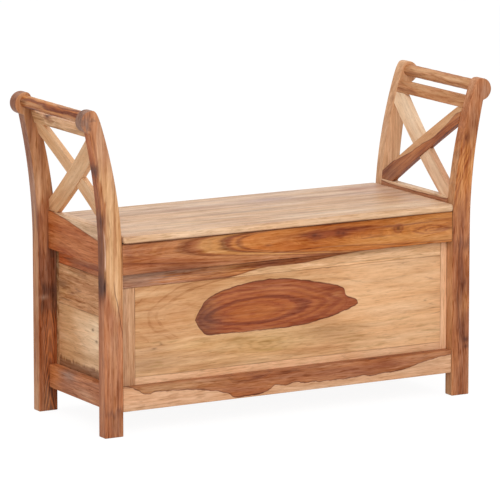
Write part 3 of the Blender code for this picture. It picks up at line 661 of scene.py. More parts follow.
def front_apron_wood():
    """Orange heartwood with dark flames that open to the right, small knots and a lens-shaped eye."""
    wood = Figure("apron_front", "x", "z", 11, wander=0.0035)
    middle = wood.math("MULTIPLY_ADD", wood.u, -0.02, 0.3985)
    tip = wood.add(wood.flame(middle, 0.1, 0.026), wood.swing(7, 45, 0.03, 4), wood.swing(20, 200, 0.01, 3))
    colour = wood.ramp(tip, ((-0.8, (450, 190, 82)), (-0.58, (380, 135, 54)), (-0.51, (180, 44, 18)),
        (-0.47, (420, 160, 62)), (-0.4, (380, 130, 52)), (-0.33, (440, 170, 70)), (-0.285, (470, 180, 64)),
        (-0.266, (130, 30, 11)), (-0.244, (260, 68, 22)), (-0.218, (540, 235, 68)), (-0.188, (520, 215, 56)),
        (-0.173, (85, 19, 8)), (-0.156, (260, 64, 20)), (-0.142, (560, 190, 40)), (-0.129, (180, 42, 14)),
        (-0.11, (530, 160, 27)), (-0.02, (460, 130, 20)), (0.1, (520, 165, 29)), (0.3, (600, 225, 50)),
        (0.45, (540, 200, 58))), -0.8, 0.45)
    colour = wood.mix(0.28, colour, wood.timber(wood.times(tip, 55), AMBER, 0.9))
    darts = wood.times(wood.patches(7, 150, 0.1, 0.36), wood.fade(wood.u, -0.05, 0.1))
    colour = wood.wash(colour, (170, 42, 16), darts, 0.7)
    colour = wood.touch(colour,
        ((115, 404, 120, 7.5), 0.75, (300, 70, 22)), ((66, 401, 26, 11.5), 0.9, (220, 46, 16)),
        ((126, 401, 22, 10.5), 0.85, (240, 50, 18)), ((245, 378, 60, 7), 0.5, (700, 320, 95)),
        ((400, 366, 60, 6), 0.45, (660, 310, 120)), ((120, 406, 85, 4.5), 0.65, (180, 44, 18)),
        ((95, 402, 60, 6.5, 2, False), 0.7, (340, 80, 24)), ((60, 402, 9, 5, 0, False), 0.85, (110, 24, 10)),
        ((74, 399.5, 6, 3.5, 0, False), 0.75, (130, 28, 11)),
        ((120, 402, 6, 4, 0, False), 0.85, (110, 24, 10)),
        ((134, 399.5, 7, 4, 0, False), 0.75, (130, 28, 11)), ((145, 406, 12, 2), 0.7, (120, 28, 12)),
        ((37, 405, 10, 3), 0.6, (140, 34, 14)), ((185, 409, 30, 2.5), 0.6, (200, 50, 20)),
        ((277, 397.5, 7, 6, 0, False), 0.85, (130, 30, 12)),
        ((-57, 388.5, 10, 3, 0, False), 0.65, (160, 40, 16)), ((405, 386, 16, 3), 0.65, (180, 48, 18)),
        ((400, 406, 60, 2.5), 0.5, (240, 66, 24)), ((220, 388, 50, 2, -6), 0.4, (260, 70, 24)),
        ((-300, 356, 110, 10), 0.8, (190, 50, 22)), ((-405, 390, 14, 40), 0.45, (280, 85, 36)))
    rings = (((362, 387.5, 40, 8.5), 0.16), ((64, 401.5, 17, 10), 0.3), ((126, 401, 14, 9), 0.3),
        ((277, 397.5, 11, 8.5, 0, False), 0.3), ((370, 387.5, 18, 3), 0.3))
    for place, thickness in rings:
        ring = wood.near(wood.ellipse(*place), 1, thickness)
        colour = wood.wash(colour, (260, 62, 20), ring, 0.65)
    # Painted shadow of the lid's overhang: dark along the apron's top edge.
    colour = wood.wash(colour, (100, 30, 14), wood.fade(wood.v, 0.4205, 0.4235), 0.75)
    under = wood.line([(-100, 372), (0, 370), (60, 372), (180, 369), (300, 362), (420, 360)])
    under = wood.near(wood.v, under, 0.0015)
    colour = wood.wash(colour, (180, 46, 16), under, wood.fade(wood.u, -0.08, 0.0), 0.6)
    return wood.paint(colour, 0.7, joints=0.5, mottle=0.3)


def front_top_strip_wood():
    """Mauve-brown at the left turning orange, with a brown band that tapers off over pale sapwood."""
    wood = Figure("front_top_strip", "x", "z", 13, wander=0.002)
    heart = wood.minus(wood.v, wood.line([(-420, 300), (-216, 317), (-153, 320.5), (-110, 326), (-80, 332),
        (-50, 335), (37, 336), (80, 340), (120, 344), (171, 348), (250, 354.5), (420, 358)]))
    colour = wood.timber(wood.pith(0.3, -0.16, 0.005), AMBER, 0.9)
    colour = wood.wash(colour, (660, 330, 170), wood.fade(wood.u, -0.1, -0.2), 0.35)
    colour = wood.wash(colour, (430, 140, 45), wood.fade(wood.u, -0.05, 0.03), 0.5)
    mauve = wood.times(wood.fade(wood.add(wood.u, wood.swing(8, 190, 0.3, 4)), -0.25, -0.31), 0.65)
    colour = wood.wash(colour, (420, 235, 155), mauve)
    colour = wood.touch(colour,
        ((-360, 331, 30, 5), 0.5, (340, 195, 140)), ((-330, 337, 40, 3), 0.6, (640, 370, 260)),
        ((-395, 342, 20, 4), 0.5, (300, 135, 80)), ((-290, 330, 30, 2.5), 0.5, (620, 300, 160)),
        ((-350, 346, 50, 2), 0.55, (220, 105, 70)), ((-250, 338, 30, 6), 0.35, (340, 110, 42)),
        ((-140, 344, 50, 5), 0.45, (640, 330, 120)), ((-180, 334, 60, 1.8), 0.55, (260, 75, 28)),
        ((-80, 339, 60, 2), 0.55, (280, 82, 30)))
    pale = wood.timber(wood.pith(0.2, -0.16, 0.009), HONEY, 0.4)
    pale = wood.wash(pale, (860, 495, 245), 0.6)
    grey = wood.times(wood.near(wood.v, 0.3275, 0.0016), wood.fade(wood.u, 0.08, 0.15),
        wood.fade(wood.u, 0.4, 0.25))
    pale = wood.wash(pale, (340, 210, 110), grey, 0.4)
    return wood.paint(wood.heart_and_sap(heart, colour, pale, 0.0016, 0.45), 0.9, joints=0.2, mottle=0.35)


def front_board_wood():
    """Honey sapwood round an island of ringed heartwood, and below a seam plainer wood."""
    wood = Figure("front_board", "x", "z", 12, wander=0.0022)
    top = wood.line([(-230, 230), (-226.5, 236), (-222, 248), (-213, 262), (-197, 280), (-170, 292),
        (-130, 300), (-90, 306), (-50, 308.5), (0, 306), (40, 300), (80, 291), (115, 284), (140, 277),
        (152, 268), (154, 258), (160, 251), (172, 247), (183, 241), (186.5, 234), (190, 228)])
    bottom = wood.line([(-230, 236), (-226.5, 230), (-221, 220), (-210, 207), (-197, 198), (-150, 196),
        (-50, 195), (0, 195), (40, 197), (80, 202.5), (120, 210), (150, 218), (172, 225), (183, 230),
        (190, 238)])
    edge = wood.add(wood.v, wood.swing(45, 90, 0.003))
    heart = wood.math("MINIMUM", wood.minus(top, edge), wood.minus(edge, bottom))
    core = wood.ellipse(-85, 234.5, 91, 29, 1)
    shell = wood.math("MINIMUM", wood.math("DIVIDE", heart, 0.045), 1)
    depth = wood.add(wood.times(shell, 0.42), wood.times(wood.minus(1.55, core), 0.4),
        wood.swing(7, 24, 0.16, 3), wood.swing(25, 90, 0.05, 3))
    island = wood.ramp(depth, ((-0.8, (380, 125, 40)), (-0.3, (270, 74, 28)), (-0.18, (400, 135, 42)),
        (-0.08, (210, 54, 22)), (0.02, (310, 94, 34)), (0.1, (440, 150, 44)), (0.2, (240, 64, 25)),
        (0.3, (440, 148, 44)), (0.38, (340, 100, 36)), (0.44, (105, 27, 15)), (0.5, (100, 26, 15)),
        (0.56, (260, 70, 28)), (0.63, (500, 165, 44)), (0.72, (330, 92, 30)), (0.82, (500, 170, 44)),
        (1.05, (420, 126, 35))), -0.8, 1.05)
    island = wood.mix(0.3, island, wood.timber(wood.times(depth, 13), RUSSET, 0.9))
    veins = wood.patches(8, 130, 0.12, 0.4)
    island = wood.wash(island, (160, 42, 20), veins, 0.45)
    island = wood.touch(island,
        ((-212, 232, 30, 45), 0.8, (160, 50, 32)), ((-170, 225, 26, 30), 0.45, (170, 56, 34)),
        ((-85, 234, 45, 10), 0.55, (540, 190, 50)), ((-83, 234.5, 9, 2.8, 0, False), 0.65, (220, 42, 16)),
        ((-60, 301, 60, 5), 0.4, (200, 55, 24)), ((-80, 276, 80, 4), 0.45, (440, 145, 46)),
        ((125, 242, 35, 6), 0.6, (230, 58, 22)), ((105, 272, 30, 4.5, -18), 0.6, (200, 52, 20)),
        ((135, 260, 12, 6), 0.6, (520, 230, 85)), ((60, 264, 45, 8), 0.4, (500, 180, 55)),
        ((80, 220, 50, 5, 8), 0.4, (460, 160, 55)), ((0, 205, 60, 4.5), 0.45, (220, 60, 26)),
        ((-150, 206, 50, 5), 0.35, (220, 64, 30)))
    island = wood.wash(island, (360, 30, 4), wood.fade(wood.u, -0.2, -0.15), 0.22)
    round_left = wood.times(wood.math("MINIMUM", wood.add(wood.u, 0.1), 0), 0.085 / 0.2)
    rise = wood.minus(wood.v, 0.24)
    rings = wood.times(wood.vector("LENGTH", wood.combine(round_left, rise, 0)), 60)
    upper = wood.timber(wood.add(rings, wood.swing(4, 16, 1.6, 3)), HONEY, 0.34)
    upper = wood.wash(upper, (870, 515, 270), wood.fade(wood.u, 0.02, 0.2), 0.68)
    clouded = wood.times(wood.patches(9, 45, 0.02, 0.35), wood.fade(wood.u, 0.08, 0.2), 0.4)
    upper = wood.wash(upper, (580, 310, 150), clouded)
    upper = wood.touch(upper,
        ((-310, 250, 80, 60), 0.4, (560, 265, 115)), ((112, 321, 6, 1.2, 0, False), 0.7, (300, 150, 70)),
        ((363, 222, 4, 1.5, 0, False), 0.6, (300, 150, 70)), ((380, 212, 10, 1.2, -15), 0.6, (340, 170, 80)),
        ((395, 203, 12, 1.2, -10), 0.55, (340, 170, 80)), ((360, 290, 30, 6, -20), 0.35, (520, 270, 130)),
        ((385, 270, 30, 2, -12), 0.5, (440, 220, 110)), ((155, 290, 50, 1.4, -12), 0.55, (420, 230, 110)),
        ((250, 315, 150, 1.2), 0.4, (440, 240, 120)), ((300, 282, 60, 1.4, 4), 0.45, (420, 230, 110)))
    lower = wood.timber(wood.add(wood.times(wood.v, 120), wood.swing(5, 14, 2.2, 3)), HONEY, 0.5)
    lower = wood.wash(lower, (740, 450, 230), 0.3)
    lower = wood.wash(lower, (880, 525, 275), wood.fade(wood.u, 0.1, 0.26), 0.7)
    lower = wood.touch(lower,
        ((-400, 150, 120, 22), 0.6, (440, 260, 145)), ((-330, 178, 60, 6), 0.35, (500, 260, 150)),
        ((-230, 178, 60, 10), 0.6, (740, 450, 210)), ((-60, 168, 120, 26), 0.45, (600, 350, 120)),
        ((-120, 182, 22, 7), 0.65, (420, 225, 75)), ((-35, 172, 24, 10), 0.45, (480, 260, 85)),
        ((-40, 150, 40, 4), 0.6, (440, 250, 70)), ((-140, 128, 80, 4), 0.5, (360, 180, 70)),
        ((20, 132, 40, 4), 0.5, (380, 190, 75)), ((100, 178, 90, 10), 0.6, (460, 255, 115)),
        ((200, 150, 60, 8), 0.4, (500, 280, 130)), ((300, 160, 140, 30), 0.35, (680, 375, 190)),
        ((-330, 181, 6, 2.2, 0, False), 0.75, (200, 90, 40)), ((-318, 188, 5, 3, 30), 0.65, (220, 100, 45)),
        ((390, 191, 16, 1.2), 0.55, (340, 170, 80)))
    lower = wood.wash(lower, (420, 235, 85), wood.patches(16, 110, 0.1, 0.34), 0.45)
    eye = wood.ellipse(-50, 166, 30, 10)
    eye = wood.times(wood.near(wood.math("FRACT", wood.times(eye, 1.1)), 0.5, 0.2),
        wood.bell(wood.times(eye, 0.4)))
    lower = wood.wash(lower, (380, 200, 65), eye, 0.5)
    seam = wood.fade(wood.add(wood.v, wood.times(wood.swing(30, 60, 1), 0.0004)), 0.1958, 0.1964)
    colour = wood.heart_and_sap(heart, island, wood.mix(seam, lower, upper), 0.0014, 0.75)
    return wood.paint(colour, 0.45, joints=0.2, mottle=0.22)


def front_lower_rail_wood():
    """Brown heartwood above a ragged line, pale sapwood below it."""
    wood = Figure("lower_rail_front", "x", "z", 17, wander=0.0016)
    edge = wood.add(wood.v, wood.swing(60, 90, 0.0035, 3))
    heart = wood.minus(edge, wood.line([(-420, 112), (-380, 97), (-352, 86.5), (-345, 90.5), (-300, 88.5),
        (-250, 85), (-210, 80), (-180, 74), (-155, 66), (-145, 58), (-130, 56), (-100, 57), (-70, 60),
        (-50, 67), (-35, 73), (-10, 71), (10, 75), (30, 72), (60, 70), (100, 69), (150, 69), (190, 71),
        (210, 68), (240, 71), (290, 73), (310, 78), (340, 84), (370, 90), (420, 96)]))
    brown = wood.timber(wood.add(wood.times(heart, 140), wood.swing(6, 20, 1.5)), RUSSET, 0.5)
    brown = wood.wash(brown, (420, 160, 68), 0.35)
    brown = wood.touch(brown,
        ((-320, 96, 130, 12), 0.6, (460, 250, 115)), ((-250, 88, 80, 2.2, -6), 0.5, (240, 95, 45)),
        ((-200, 100, 50, 2), 0.45, (260, 110, 50)), ((-85, 98, 20, 6), 0.7, (180, 50, 26)),
        ((250, 88, 50, 8), 0.6, (260, 64, 24)), ((285, 83, 20, 3, 12), 0.6, (540, 210, 95)),
        ((360, 100, 60, 5), 0.5, (480, 200, 85)), ((330, 93, 40, 2, 10), 0.5, (220, 60, 26)),
        ((180, 80, 40, 3, -12), 0.45, (220, 62, 30)), ((170, 86, 110, 10), 0.45, (220, 56, 28)),
        ((60, 104, 160, 4), 0.35, (520, 240, 120)), ((-140, 74, 60, 6), 0.45, (240, 70, 30)))
    pale = wood.timber(wood.add(wood.times(heart, 120), wood.swing(5, 20, 1.0)), CREAM, 0.5)
    pale = wood.wash(pale, (660, 335, 180), 0.65)
    return wood.paint(wood.heart_and_sap(heart, brown, pale, 0.0013, 0.65), 0.8, joints=0.2, mottle=0.3)


def wedge_wood(node, seed, points, pith, warmth):
    """Red-brown heartwood with a wedge of pale sapwood above a line."""
    wood = Figure(node, "y", "z", seed, wander=0.0025)
    heart = wood.minus(wood.line(points), wood.add(wood.v, wood.swing(30, 60, 0.0015)))
    red = wood.timber(wood.add(wood.times(heart, 150), wood.swing(5, 20, 1.2)), RUSSET, 0.6)
    red = wood.wash(red, warmth, 0.55)
    pale = wood.wash(wood.timber(wood.pith(*pith, 0.008), CREAM, 0.5), (900, 630, 420), 0.3)
    return wood.paint(wood.heart_and_sap(heart, red, pale, 0.0014, 0.45), 0.8, mottle=0.3)


def side_top_strip_wood(node, seed):
    """Red-brown, with a dark-spotted orange end at the back."""
    wood = Figure(node, "y", "z", seed)
    colour = wood.timber(wood.times(wood.v, 160), RUSSET, 0.7)
    orange_end = wood.fade(wood.add(wood.u, wood.swing(15, 90, 0.05)), 0.06, 0.1)
    colour = wood.wash(colour, (620, 130, 26), orange_end, 0.7)
    colour = wood.wash(colour, (560, 130, 40), 0.3)
    colour = wood.touch(colour, ((120, 362, 12, 4), 0.8, PLUM), ((90, 352, 16, 3), 0.6, PLUM),
        ((0, 350, 80, 2), 0.5, (160, 45, 22)))
    return wood.paint(colour, 0.8, joints=0.6, mottle=0.35)


def lower_side_rail_wood(node, seed):
    """Red-brown, orange at its back end, with a grey-brown patch and pale flecks."""
    wood = Figure(node, "y", "z", seed, wander=0.006)
    colour = wood.timber(wood.add(wood.times(wood.v, 130), wood.swing(8, 24, 2.2, 3)), RUSSET, 0.8)
    colour = wood.wash(colour, (560, 195, 78), 0.5)
    colour = wood.touch(colour,
        ((115, 90, 35, 30), 0.75, (660, 230, 70)), ((50, 98, 30, 14), 0.7, (340, 200, 140)),
        ((-30, 70, 40, 10), 0.45, (560, 300, 170)), ((80, 72, 30, 6), 0.5, (220, 70, 36)),
        ((0, 110, 160, 3), 0.55, (620, 330, 190)))
    return wood.paint(colour, 0.8)


def side_upper_board_wood(node, seed, pith):
    """Honey and olive, mottled with short brown streaks and a small knot."""
    wood = Figure(node, "y", "z", seed, wander=0.008)
    colour = wood.timber(wood.add(wood.pith(*pith, 0.007), wood.swing(16, 60, 2.0, 3)), HONEY, 0.7)
    colour = wood.wash(colour, (320, 135, 52), wood.patches(14, 60, 0.0, 0.4))
    colour = wood.wash(colour, (600, 240, 98), 0.35)
    colour = wood.touch(colour,
        ((115, 294, 30, 10), 0.7, (180, 65, 25)), ((100, 257, 30, 3), 0.7, (200, 72, 28)),
        ((60, 280, 20, 3, -20), 0.6, (220, 85, 35)), ((44, 290, 10, 5), 0.6, (220, 85, 40)),
        ((120, 275, 30, 6), 0.5, (620, 330, 130)), ((60, 326, 90, 3), 0.45, (360, 190, 80)))
    return wood.paint(colour, 0.9, joints=0.3)


def side_lower_board_wood(node, seed, pith):
    """Pale sapwood, browner towards the back, with two small knots and a ragged dark edge below."""
    wood = Figure(node, "y", "z", seed, wander=0.005)
    colour = wood.timber(wood.add(wood.pith(*pith, 0.014), wood.swing(12, 20, 0.8)), CREAM, 0.3)
    colour = wood.wash(colour, (980, 560, 280), 0.45)
    back = wood.add(wood.u, wood.times(wood.v, -0.5), wood.swing(20, 60, 0.03, 3))
    colour = wood.wash(colour, (600, 290, 115), wood.fade(back, -0.08, -0.025), 0.7)
    colour = wood.touch(colour,
        ((-45, 200, 50, 42), 0.75, (1000, 700, 430)), ((-28, 212.5, 5, 3, 0, False), 0.85, (200, 95, 40)),
        ((-45, 190, 6, 3.5, 0, False), 0.85, (200, 95, 40)), ((0, 145, 80, 12), 0.5, (460, 240, 100)),
        ((-110, 200, 30, 60), 0.3, (560, 300, 160)), ((30, 180, 50, 4, 25), 0.35, (500, 270, 140)))
    ragged = wood.add(wood.v, wood.swing(110, 18, 0.016, 4))
    colour = wood.wash(colour, (200, 70, 28), wood.fade(ragged, 0.128, 0.118), 0.8)
    return wood.paint(colour, joints=0.3)


def plain_wood(node, seed, along, across, pith, tones, contrast=0.5, spacing=0.008, tint=None, joints=0.0):
    """An ordinary cut of one tone of wood."""
    wood = Figure(node, along, across, seed)
    colour = wood.timber(wood.add(wood.pith(*pith, spacing), wood.swing(5, 25, 0.7)), tones, contrast)
    if tint:
        colour = wood.wash(colour, *tint)
    return wood.paint(colour, 0.7, joints=joints, mottle=0.2)


board("apron_front", front_apron_wood())
board("front_top_strip", front_top_strip_wood(), arris=PANEL_ARRIS)
board("front_board", front_board_wood(), arris=PANEL_ARRIS)
for node, seed, along, across, pith, tint in (
        ("front_bottom_strip", 14, "x", "z", (0.05, -0.13), ((900, 550, 320), 0.7)),
        ("front_left_stile", 15, "z", "x", (-0.3, -0.13), ((560, 305, 175), 0.6)),
        ("front_right_stile", 16, "z", "x", (0.5, -0.13), ((960, 580, 340), 0.75))):
    board(node, plain_wood(node, seed, along, across, pith, HONEY, 0.35, tint=tint, joints=0.3),
          arris=PANEL_ARRIS)
board("lower_rail_front", front_lower_rail_wood())
board("apron_back", plain_wood("apron_back", 18, "x", "z", (0.36, 0.15), AMBER, 0.6))
board("lower_rail_back", plain_wood("lower_rail_back", 19, "x", "z", (0.04, 0.15), RUSSET, 0.6))
board("back_board", plain_wood("back_board", 20, "x", "z", (0.18, 0.25), HONEY, 0.6, 0.012, joints=0.5),
      arris=PANEL_ARRIS)
LEFT_SAP_LINE = [(-150, 412), (-100, 421.5), (0, 437), (70, 448), (141, 454), (146, 454.5)]
RIGHT_SAP_LINE = [(-150, 449.5), (-110, 447.5), (0, 446), (100, 447.5), (146, 452)]
for number, side, out, sap_line, warmth in ((0, "left", -1, LEFT_SAP_LINE, (640, 185, 46)),
                                            (1, "right", 1, RIGHT_SAP_LINE, (460, 205, 105))):
    node = "seat_rail_" + side
    board(node, wedge_wood(node, 21 + number, sap_line, (0.30, out * 0.40), warmth))
    node = "lower_rail_" + side
    board(node, lower_side_rail_wood(node, 23 + number))
    node = "side_top_strip_" + side
    board(node, side_top_strip_wood(node, 25 + number), arris=PANEL_ARRIS)
    node = "side_upper_board_" + side
    board(node, side_upper_board_wood(node, 27 + number, (0.30, out * 0.40)), arris=PANEL_ARRIS)
    node = "side_lower_board_" + side
    board(node, side_lower_board_wood(node, 29 + number, (0.14, out * 0.36)), arris=PANEL_ARRIS)


# Floor of the chest. A thin pale board rests on two cleats of honey-coloured wood, which are glued along
# the front and the back of the chest. Neither shows from outside.

board("floor_board", plain_wood("floor_board", 31, "x", "y", (0.05, -0.10), CREAM), arris=PANEL_ARRIS)
for number, name in enumerate(("floor_cleat_front", "floor_cleat_back")):
    board(name, plain_wood(name, 32 + number, "x", "z", (0.10, 0.05), HONEY), arris=PANEL_ARRIS)


# Lid. One wide pale board with soft streaks along it, its corners rounded and its arrises sanded. Two
# battens under it keep it flat.

def lid_wood():
    """Cream sapwood with soft mauve-brown clouds drawn out along it, a painted reflection across it near the
    right end, painted light on its edges and painted shade along its underside.
    """
    wood = Figure("lid", "x", "y", 41, wander=0.006)
    colour = wood.timber(wood.add(wood.times(wood.v, 90), wood.swing(2, 8, 2.5, 3)), CREAM, 0.5)
    colour = wood.wash(colour, (740, 520, 350), 0.25)
    colour = wood.wash(colour, (460, 270, 170), wood.patches(3, 36, 0.0, 0.35), 0.65)
    colour = wood.wash(colour, (420, 250, 170), wood.patches(5, 130, 0.08, 0.36), 0.5)
    colour = wood.touch(colour,
        ((-120, 72, 200, 34), 0.72, (430, 250, 165)), ((90, 85, 70, 30), 0.85, (400, 240, 190)),
        ((-20, -24, 110, 10), 0.75, (400, 250, 170)), ((130, 45, 120, 14), 0.5, (500, 310, 210)),
        ((-300, 110, 160, 10), 0.6, (440, 260, 170)), ((300, 60, 90, 16), 0.6, (470, 290, 210)),
        ((395, 120, 50, 40), 0.6, (460, 240, 160)), ((-30, 130, 120, 12), 0.5, (480, 300, 210)),
        ((260, -75, 80, 22), 0.45, (600, 420, 300)), ((330, 110, 30, 40), 0.7, (460, 220, 130)),
        # The touch at (375, 10), drawn out across the grain, is a painted reflection of the right arm on the
        # lid.
        ((375, 10, 30, 90), 0.5, (540, 330, 240)), ((-340, -100, 60, 15), 0.3, (560, 350, 200)),
        ((-220, -90, 60, 20), 0.3, (680, 480, 260)), ((140, -90, 40, 12), 0.35, (600, 420, 240)),
        ((0, -158, 420, 8), 0.45, (580, 330, 170)), ((250, 150, 150, 20), 0.35, (600, 470, 400)))
    # Painted light on the lower half of the lid's edges, and painted shade along its lowest arris and
    # underside.
    colour = wood.wash(colour, (840, 540, 320), wood.fade(wood.inward, 0.4385, 0.4355), 0.45)
    colour = wood.wash(colour, (360, 170, 80), wood.fade(wood.inward, 0.429, 0.4255), 0.6)
    return wood.paint(colour, 0.65, gloss=0.36, mottle=0.4)


board("lid", lid_wood(), body="lid", arris=SOFT_ARRIS, segments=5, corner=0.008)
for number, name in enumerate(("lid_batten_left", "lid_batten_right")):
    board(name, plain_wood(name, 42 + number, "y", "x", ((-0.2, 0.4)[number], 0.45), HONEY), body="lid")


# Arms. Between the two scrolls of each end a round rail to hold on to, under it a flat rail, and below that
# two laths that cross. Flat rail and laths are bent to the bow of the posts, and the laths are half-lapped.

RAIL_END = 0.1417
ROUND_RAIL_RADIUS, ROUND_RAIL_RISE, TURNING_WAVE = 0.0135, 0.005, 0.0002
FLAT_RAIL_LOW, FLAT_RAIL_HIGH, FLAT_RAIL_THICKNESS = 0.652, 0.678, 0.014
OPENING = (0.4528, 0.6517)
LATH_WIDTH, LATH_THICKNESS, LATH_GAP, LATH_SLOPE = 0.040, 0.012, 0.0003, 0.7
LATH_NEAR = {"inner": -0.0015, "outer": 0.001}


def bent_to_the_bow_tree():
    """Leans a flat piece outwards, as far at each height as the posts are bowed there."""
    tree, given = new_tree("bent_to_the_bow", FootInside="Float", InnerBow="Float", Shoulder="Vector",
                           Side="Float")
    x, y, z = tree.node("ShaderNodeSeparateXYZ", tree.node("GeometryNodeInputPosition").outputs[0]).outputs
    end_x, end_z, _ = tree.node("ShaderNodeSeparateXYZ", given["Shoulder"]).outputs
    risen = tree.math("DIVIDE", tree.minus(z, given["InnerBow"]), tree.minus(end_z, given["InnerBow"]))
    risen = tree.math("MAXIMUM", risen, 0)
    leaned = tree.times(tree.minus(end_x, given["FootInside"]), tree.times(risen, risen))
    bent_x = tree.times(given["Side"], tree.add(x, given["FootInside"], leaned))
    bent = tree.node("GeometryNodeSetPosition", given["Mesh"], named={
        "Position": tree.combine(bent_x, y, z)})
    return finish_tree(tree, bent.outputs[0], given)


bent_to_the_bow = bent_to_the_bow_tree()


def bent_piece(name, outline, near, far, side, wood):
    """A flat piece with this (y, z) outline, from near to far outside the posts' inner edge, then bent."""
    bm = bmesh.new()
    face = bm.faces.new([bm.verts.new((near, y, z)) for y, z in outline])
    sweep = bmesh.ops.extrude_face_region(bm, geom=[face])
    moved = [item for item in sweep["geom"] if isinstance(item, bmesh.types.BMVert)]
    bmesh.ops.translate(bm, verts=moved, vec=(far - near, 0, 0))
    heights = [z for _, z in outline]
    for step in range(1, 20):
        level = min(heights) + (max(heights) - min(heights)) * step / 20
        bmesh.ops.bisect_plane(bm, geom=[*bm.verts, *bm.edges, *bm.faces], dist=1e-7,
                               plane_co=(0, 0, level), plane_no=(0, 0, 1))
    bm.normal_update()
    bmesh.ops.recalc_face_normals(bm, faces=bm.faces)
    if side < 0:
        bmesh.ops.reverse_faces(bm, faces=bm.faces)
    return grow(name, bent_to_the_bow, mesh_of(name, bm), FootInside=POST_INSIDE, InnerBow=INNER_BOW,
                Shoulder=(*SHOULDER, 0), Side=side, Wood=wood)


def lath_outline(rises_to, top_drop, foot_drop, extra=0.0):
    """A band across the opening from corner to corner, less the two drops, cut to the opening."""
    low, high = OPENING
    foot, head = low - foot_drop, high - top_drop
    slope = (head - foot) / (2 * RAIL_END)
    half = (LATH_WIDTH / 2 + extra) * hypot(1, slope)
    middle = (head + foot) / 2
    outline = [(-RAIL_END, low), ((low - middle + half) / slope, low), (RAIL_END, head - half),
               (RAIL_END, high), ((high - middle - half) / slope, high), (-RAIL_END, foot + half)]
    return [(rises_to * y, z) for y, z in outline]


def lath_wood(node, seed, slope, tones, heart_line=None):
    """Straight grain that runs along the lath, in heartwood below a line where there is one."""
    wood = Figure(node, "y", "z", seed, wander=0.0025, turn=atan(slope))
    across = wood.minus(wood.v, wood.times(wood.u, slope))
    rings = wood.add(wood.times(across, 110), wood.times(wood.w, 40), wood.swing(6, 14, 0.8))
    colour = wood.timber(rings, tones, 0.35)
    colour = wood.wash(colour, (1000, 740, 500) if tones is CREAM else (920, 560, 300), 0.5)
    colour = wood.wash(colour, (600, 270, 110), wood.patches(4, 70, 0.1, 0.4, 3), 0.35)
    if tones is CREAM:
        foot = wood.times(wood.fade(wood.u, 0.01, -0.07), wood.patches(6, 40, -0.35, 0.15, 3), 0.7)
        colour = wood.wash(colour, (580, 275, 140), foot)
    if heart_line:
        heart = wood.minus(wood.line(heart_line), wood.add(wood.v, wood.swing(30, 50, 0.003)))
        red = wood.touch(wood.timber(rings, RUSSET, 0.6), ((110, 470, 60, 30), 0.6, (120, 36, 22)))
        colour = wood.heart_and_sap(heart, red, wood.wash(colour, (520, 250, 110), 0.55))
    return wood.paint(colour, 0.35)


def arm_rail_wood(node, seed, tones, blotch, knot=None):
    """Wood with strong blotches of a second tone along it, and a knot where there is one."""
    wood = Figure(node, "y", "z", seed, wander=0.005)
    rings = wood.add(wood.pith(0.6, 0.5 if node.endswith("right") else -0.5, 0.007),
        wood.swing(7, 24, 2.0, 3))
    colour = wood.timber(rings, tones, 0.8)
    colour = wood.wash(colour, blotch, wood.patches(10, 45, -0.1, 0.2), 0.8)
    colour = wood.wash(colour, (160, 50, 24), wood.patches(9, 80, 0.14, 0.36), 0.5)
    if node.endswith("right"):
        colour = wood.wash(colour, (500, 195, 75), 0.4)
    if knot:
        u, v, reach_u, reach_v = knot
        colour = wood.touch(colour, ((u, v, 1.6 * reach_u, 1.4 * reach_v), 0.8, (360, 110, 50)),
            ((u, v, 0.5 * reach_u, 0.6 * reach_v, 0, False), 0.85, PLUM))
        halo = wood.near(wood.ellipse(u - 4, v - 6, 1.9 * reach_u, 2.0 * reach_v), 1, 0.16)
        colour = wood.wash(colour, (940, 600, 340), halo, 0.6)
    return wood.paint(colour, 0.75, mottle=0.35)


def round_rail(name, side, wood):
    """A turned rod whose ends are let into the scrolls."""
    bm = bmesh.new()
    rings = []
    for step in range(25):
        y = -RAIL_END + 2 * RAIL_END * step / 24
        radius = ROUND_RAIL_RADIUS - TURNING_WAVE * sin(step * 1.7)
        turns = [radians(turn) for turn in range(0, 360, 8)]
        rings.append([bm.verts.new((side * SCROLL[0] + radius * cos(turn), y,
                                    SCROLL[1] + ROUND_RAIL_RISE + radius * sin(turn))) for turn in turns])
    for first, second in zip(rings, rings[1:]):
        for number in range(len(first)):
            after = (number + 1) % len(first)
            bm.faces.new((first[number], first[after], second[after], second[number]))
    bm.faces.new(rings[0])
    bm.faces.new(rings[-1])
    bm.normal_update()
    bmesh.ops.recalc_face_normals(bm, faces=bm.faces)
    mesh = mesh_of(name, bm)
    mesh.materials.append(wood)
    mesh.shade_smooth()
    mesh.set_sharp_from_angle(angle=radians(40))
    return link_mesh(name, mesh)


def half_lapped(lath, notch):
    """Cuts the notch out of the lath and leaves the lath a plain mesh."""
    cut = lath.modifiers.new("Half lap", "BOOLEAN")
    cut.solver = "EXACT"
    cut.object = notch
    bpy.context.view_layer.update()
    lath.data = bpy.data.meshes.new_from_object(lath.evaluated_get(bpy.context.evaluated_depsgraph_get()))
    lath.modifiers.clear()
    bpy.data.objects.remove(notch)


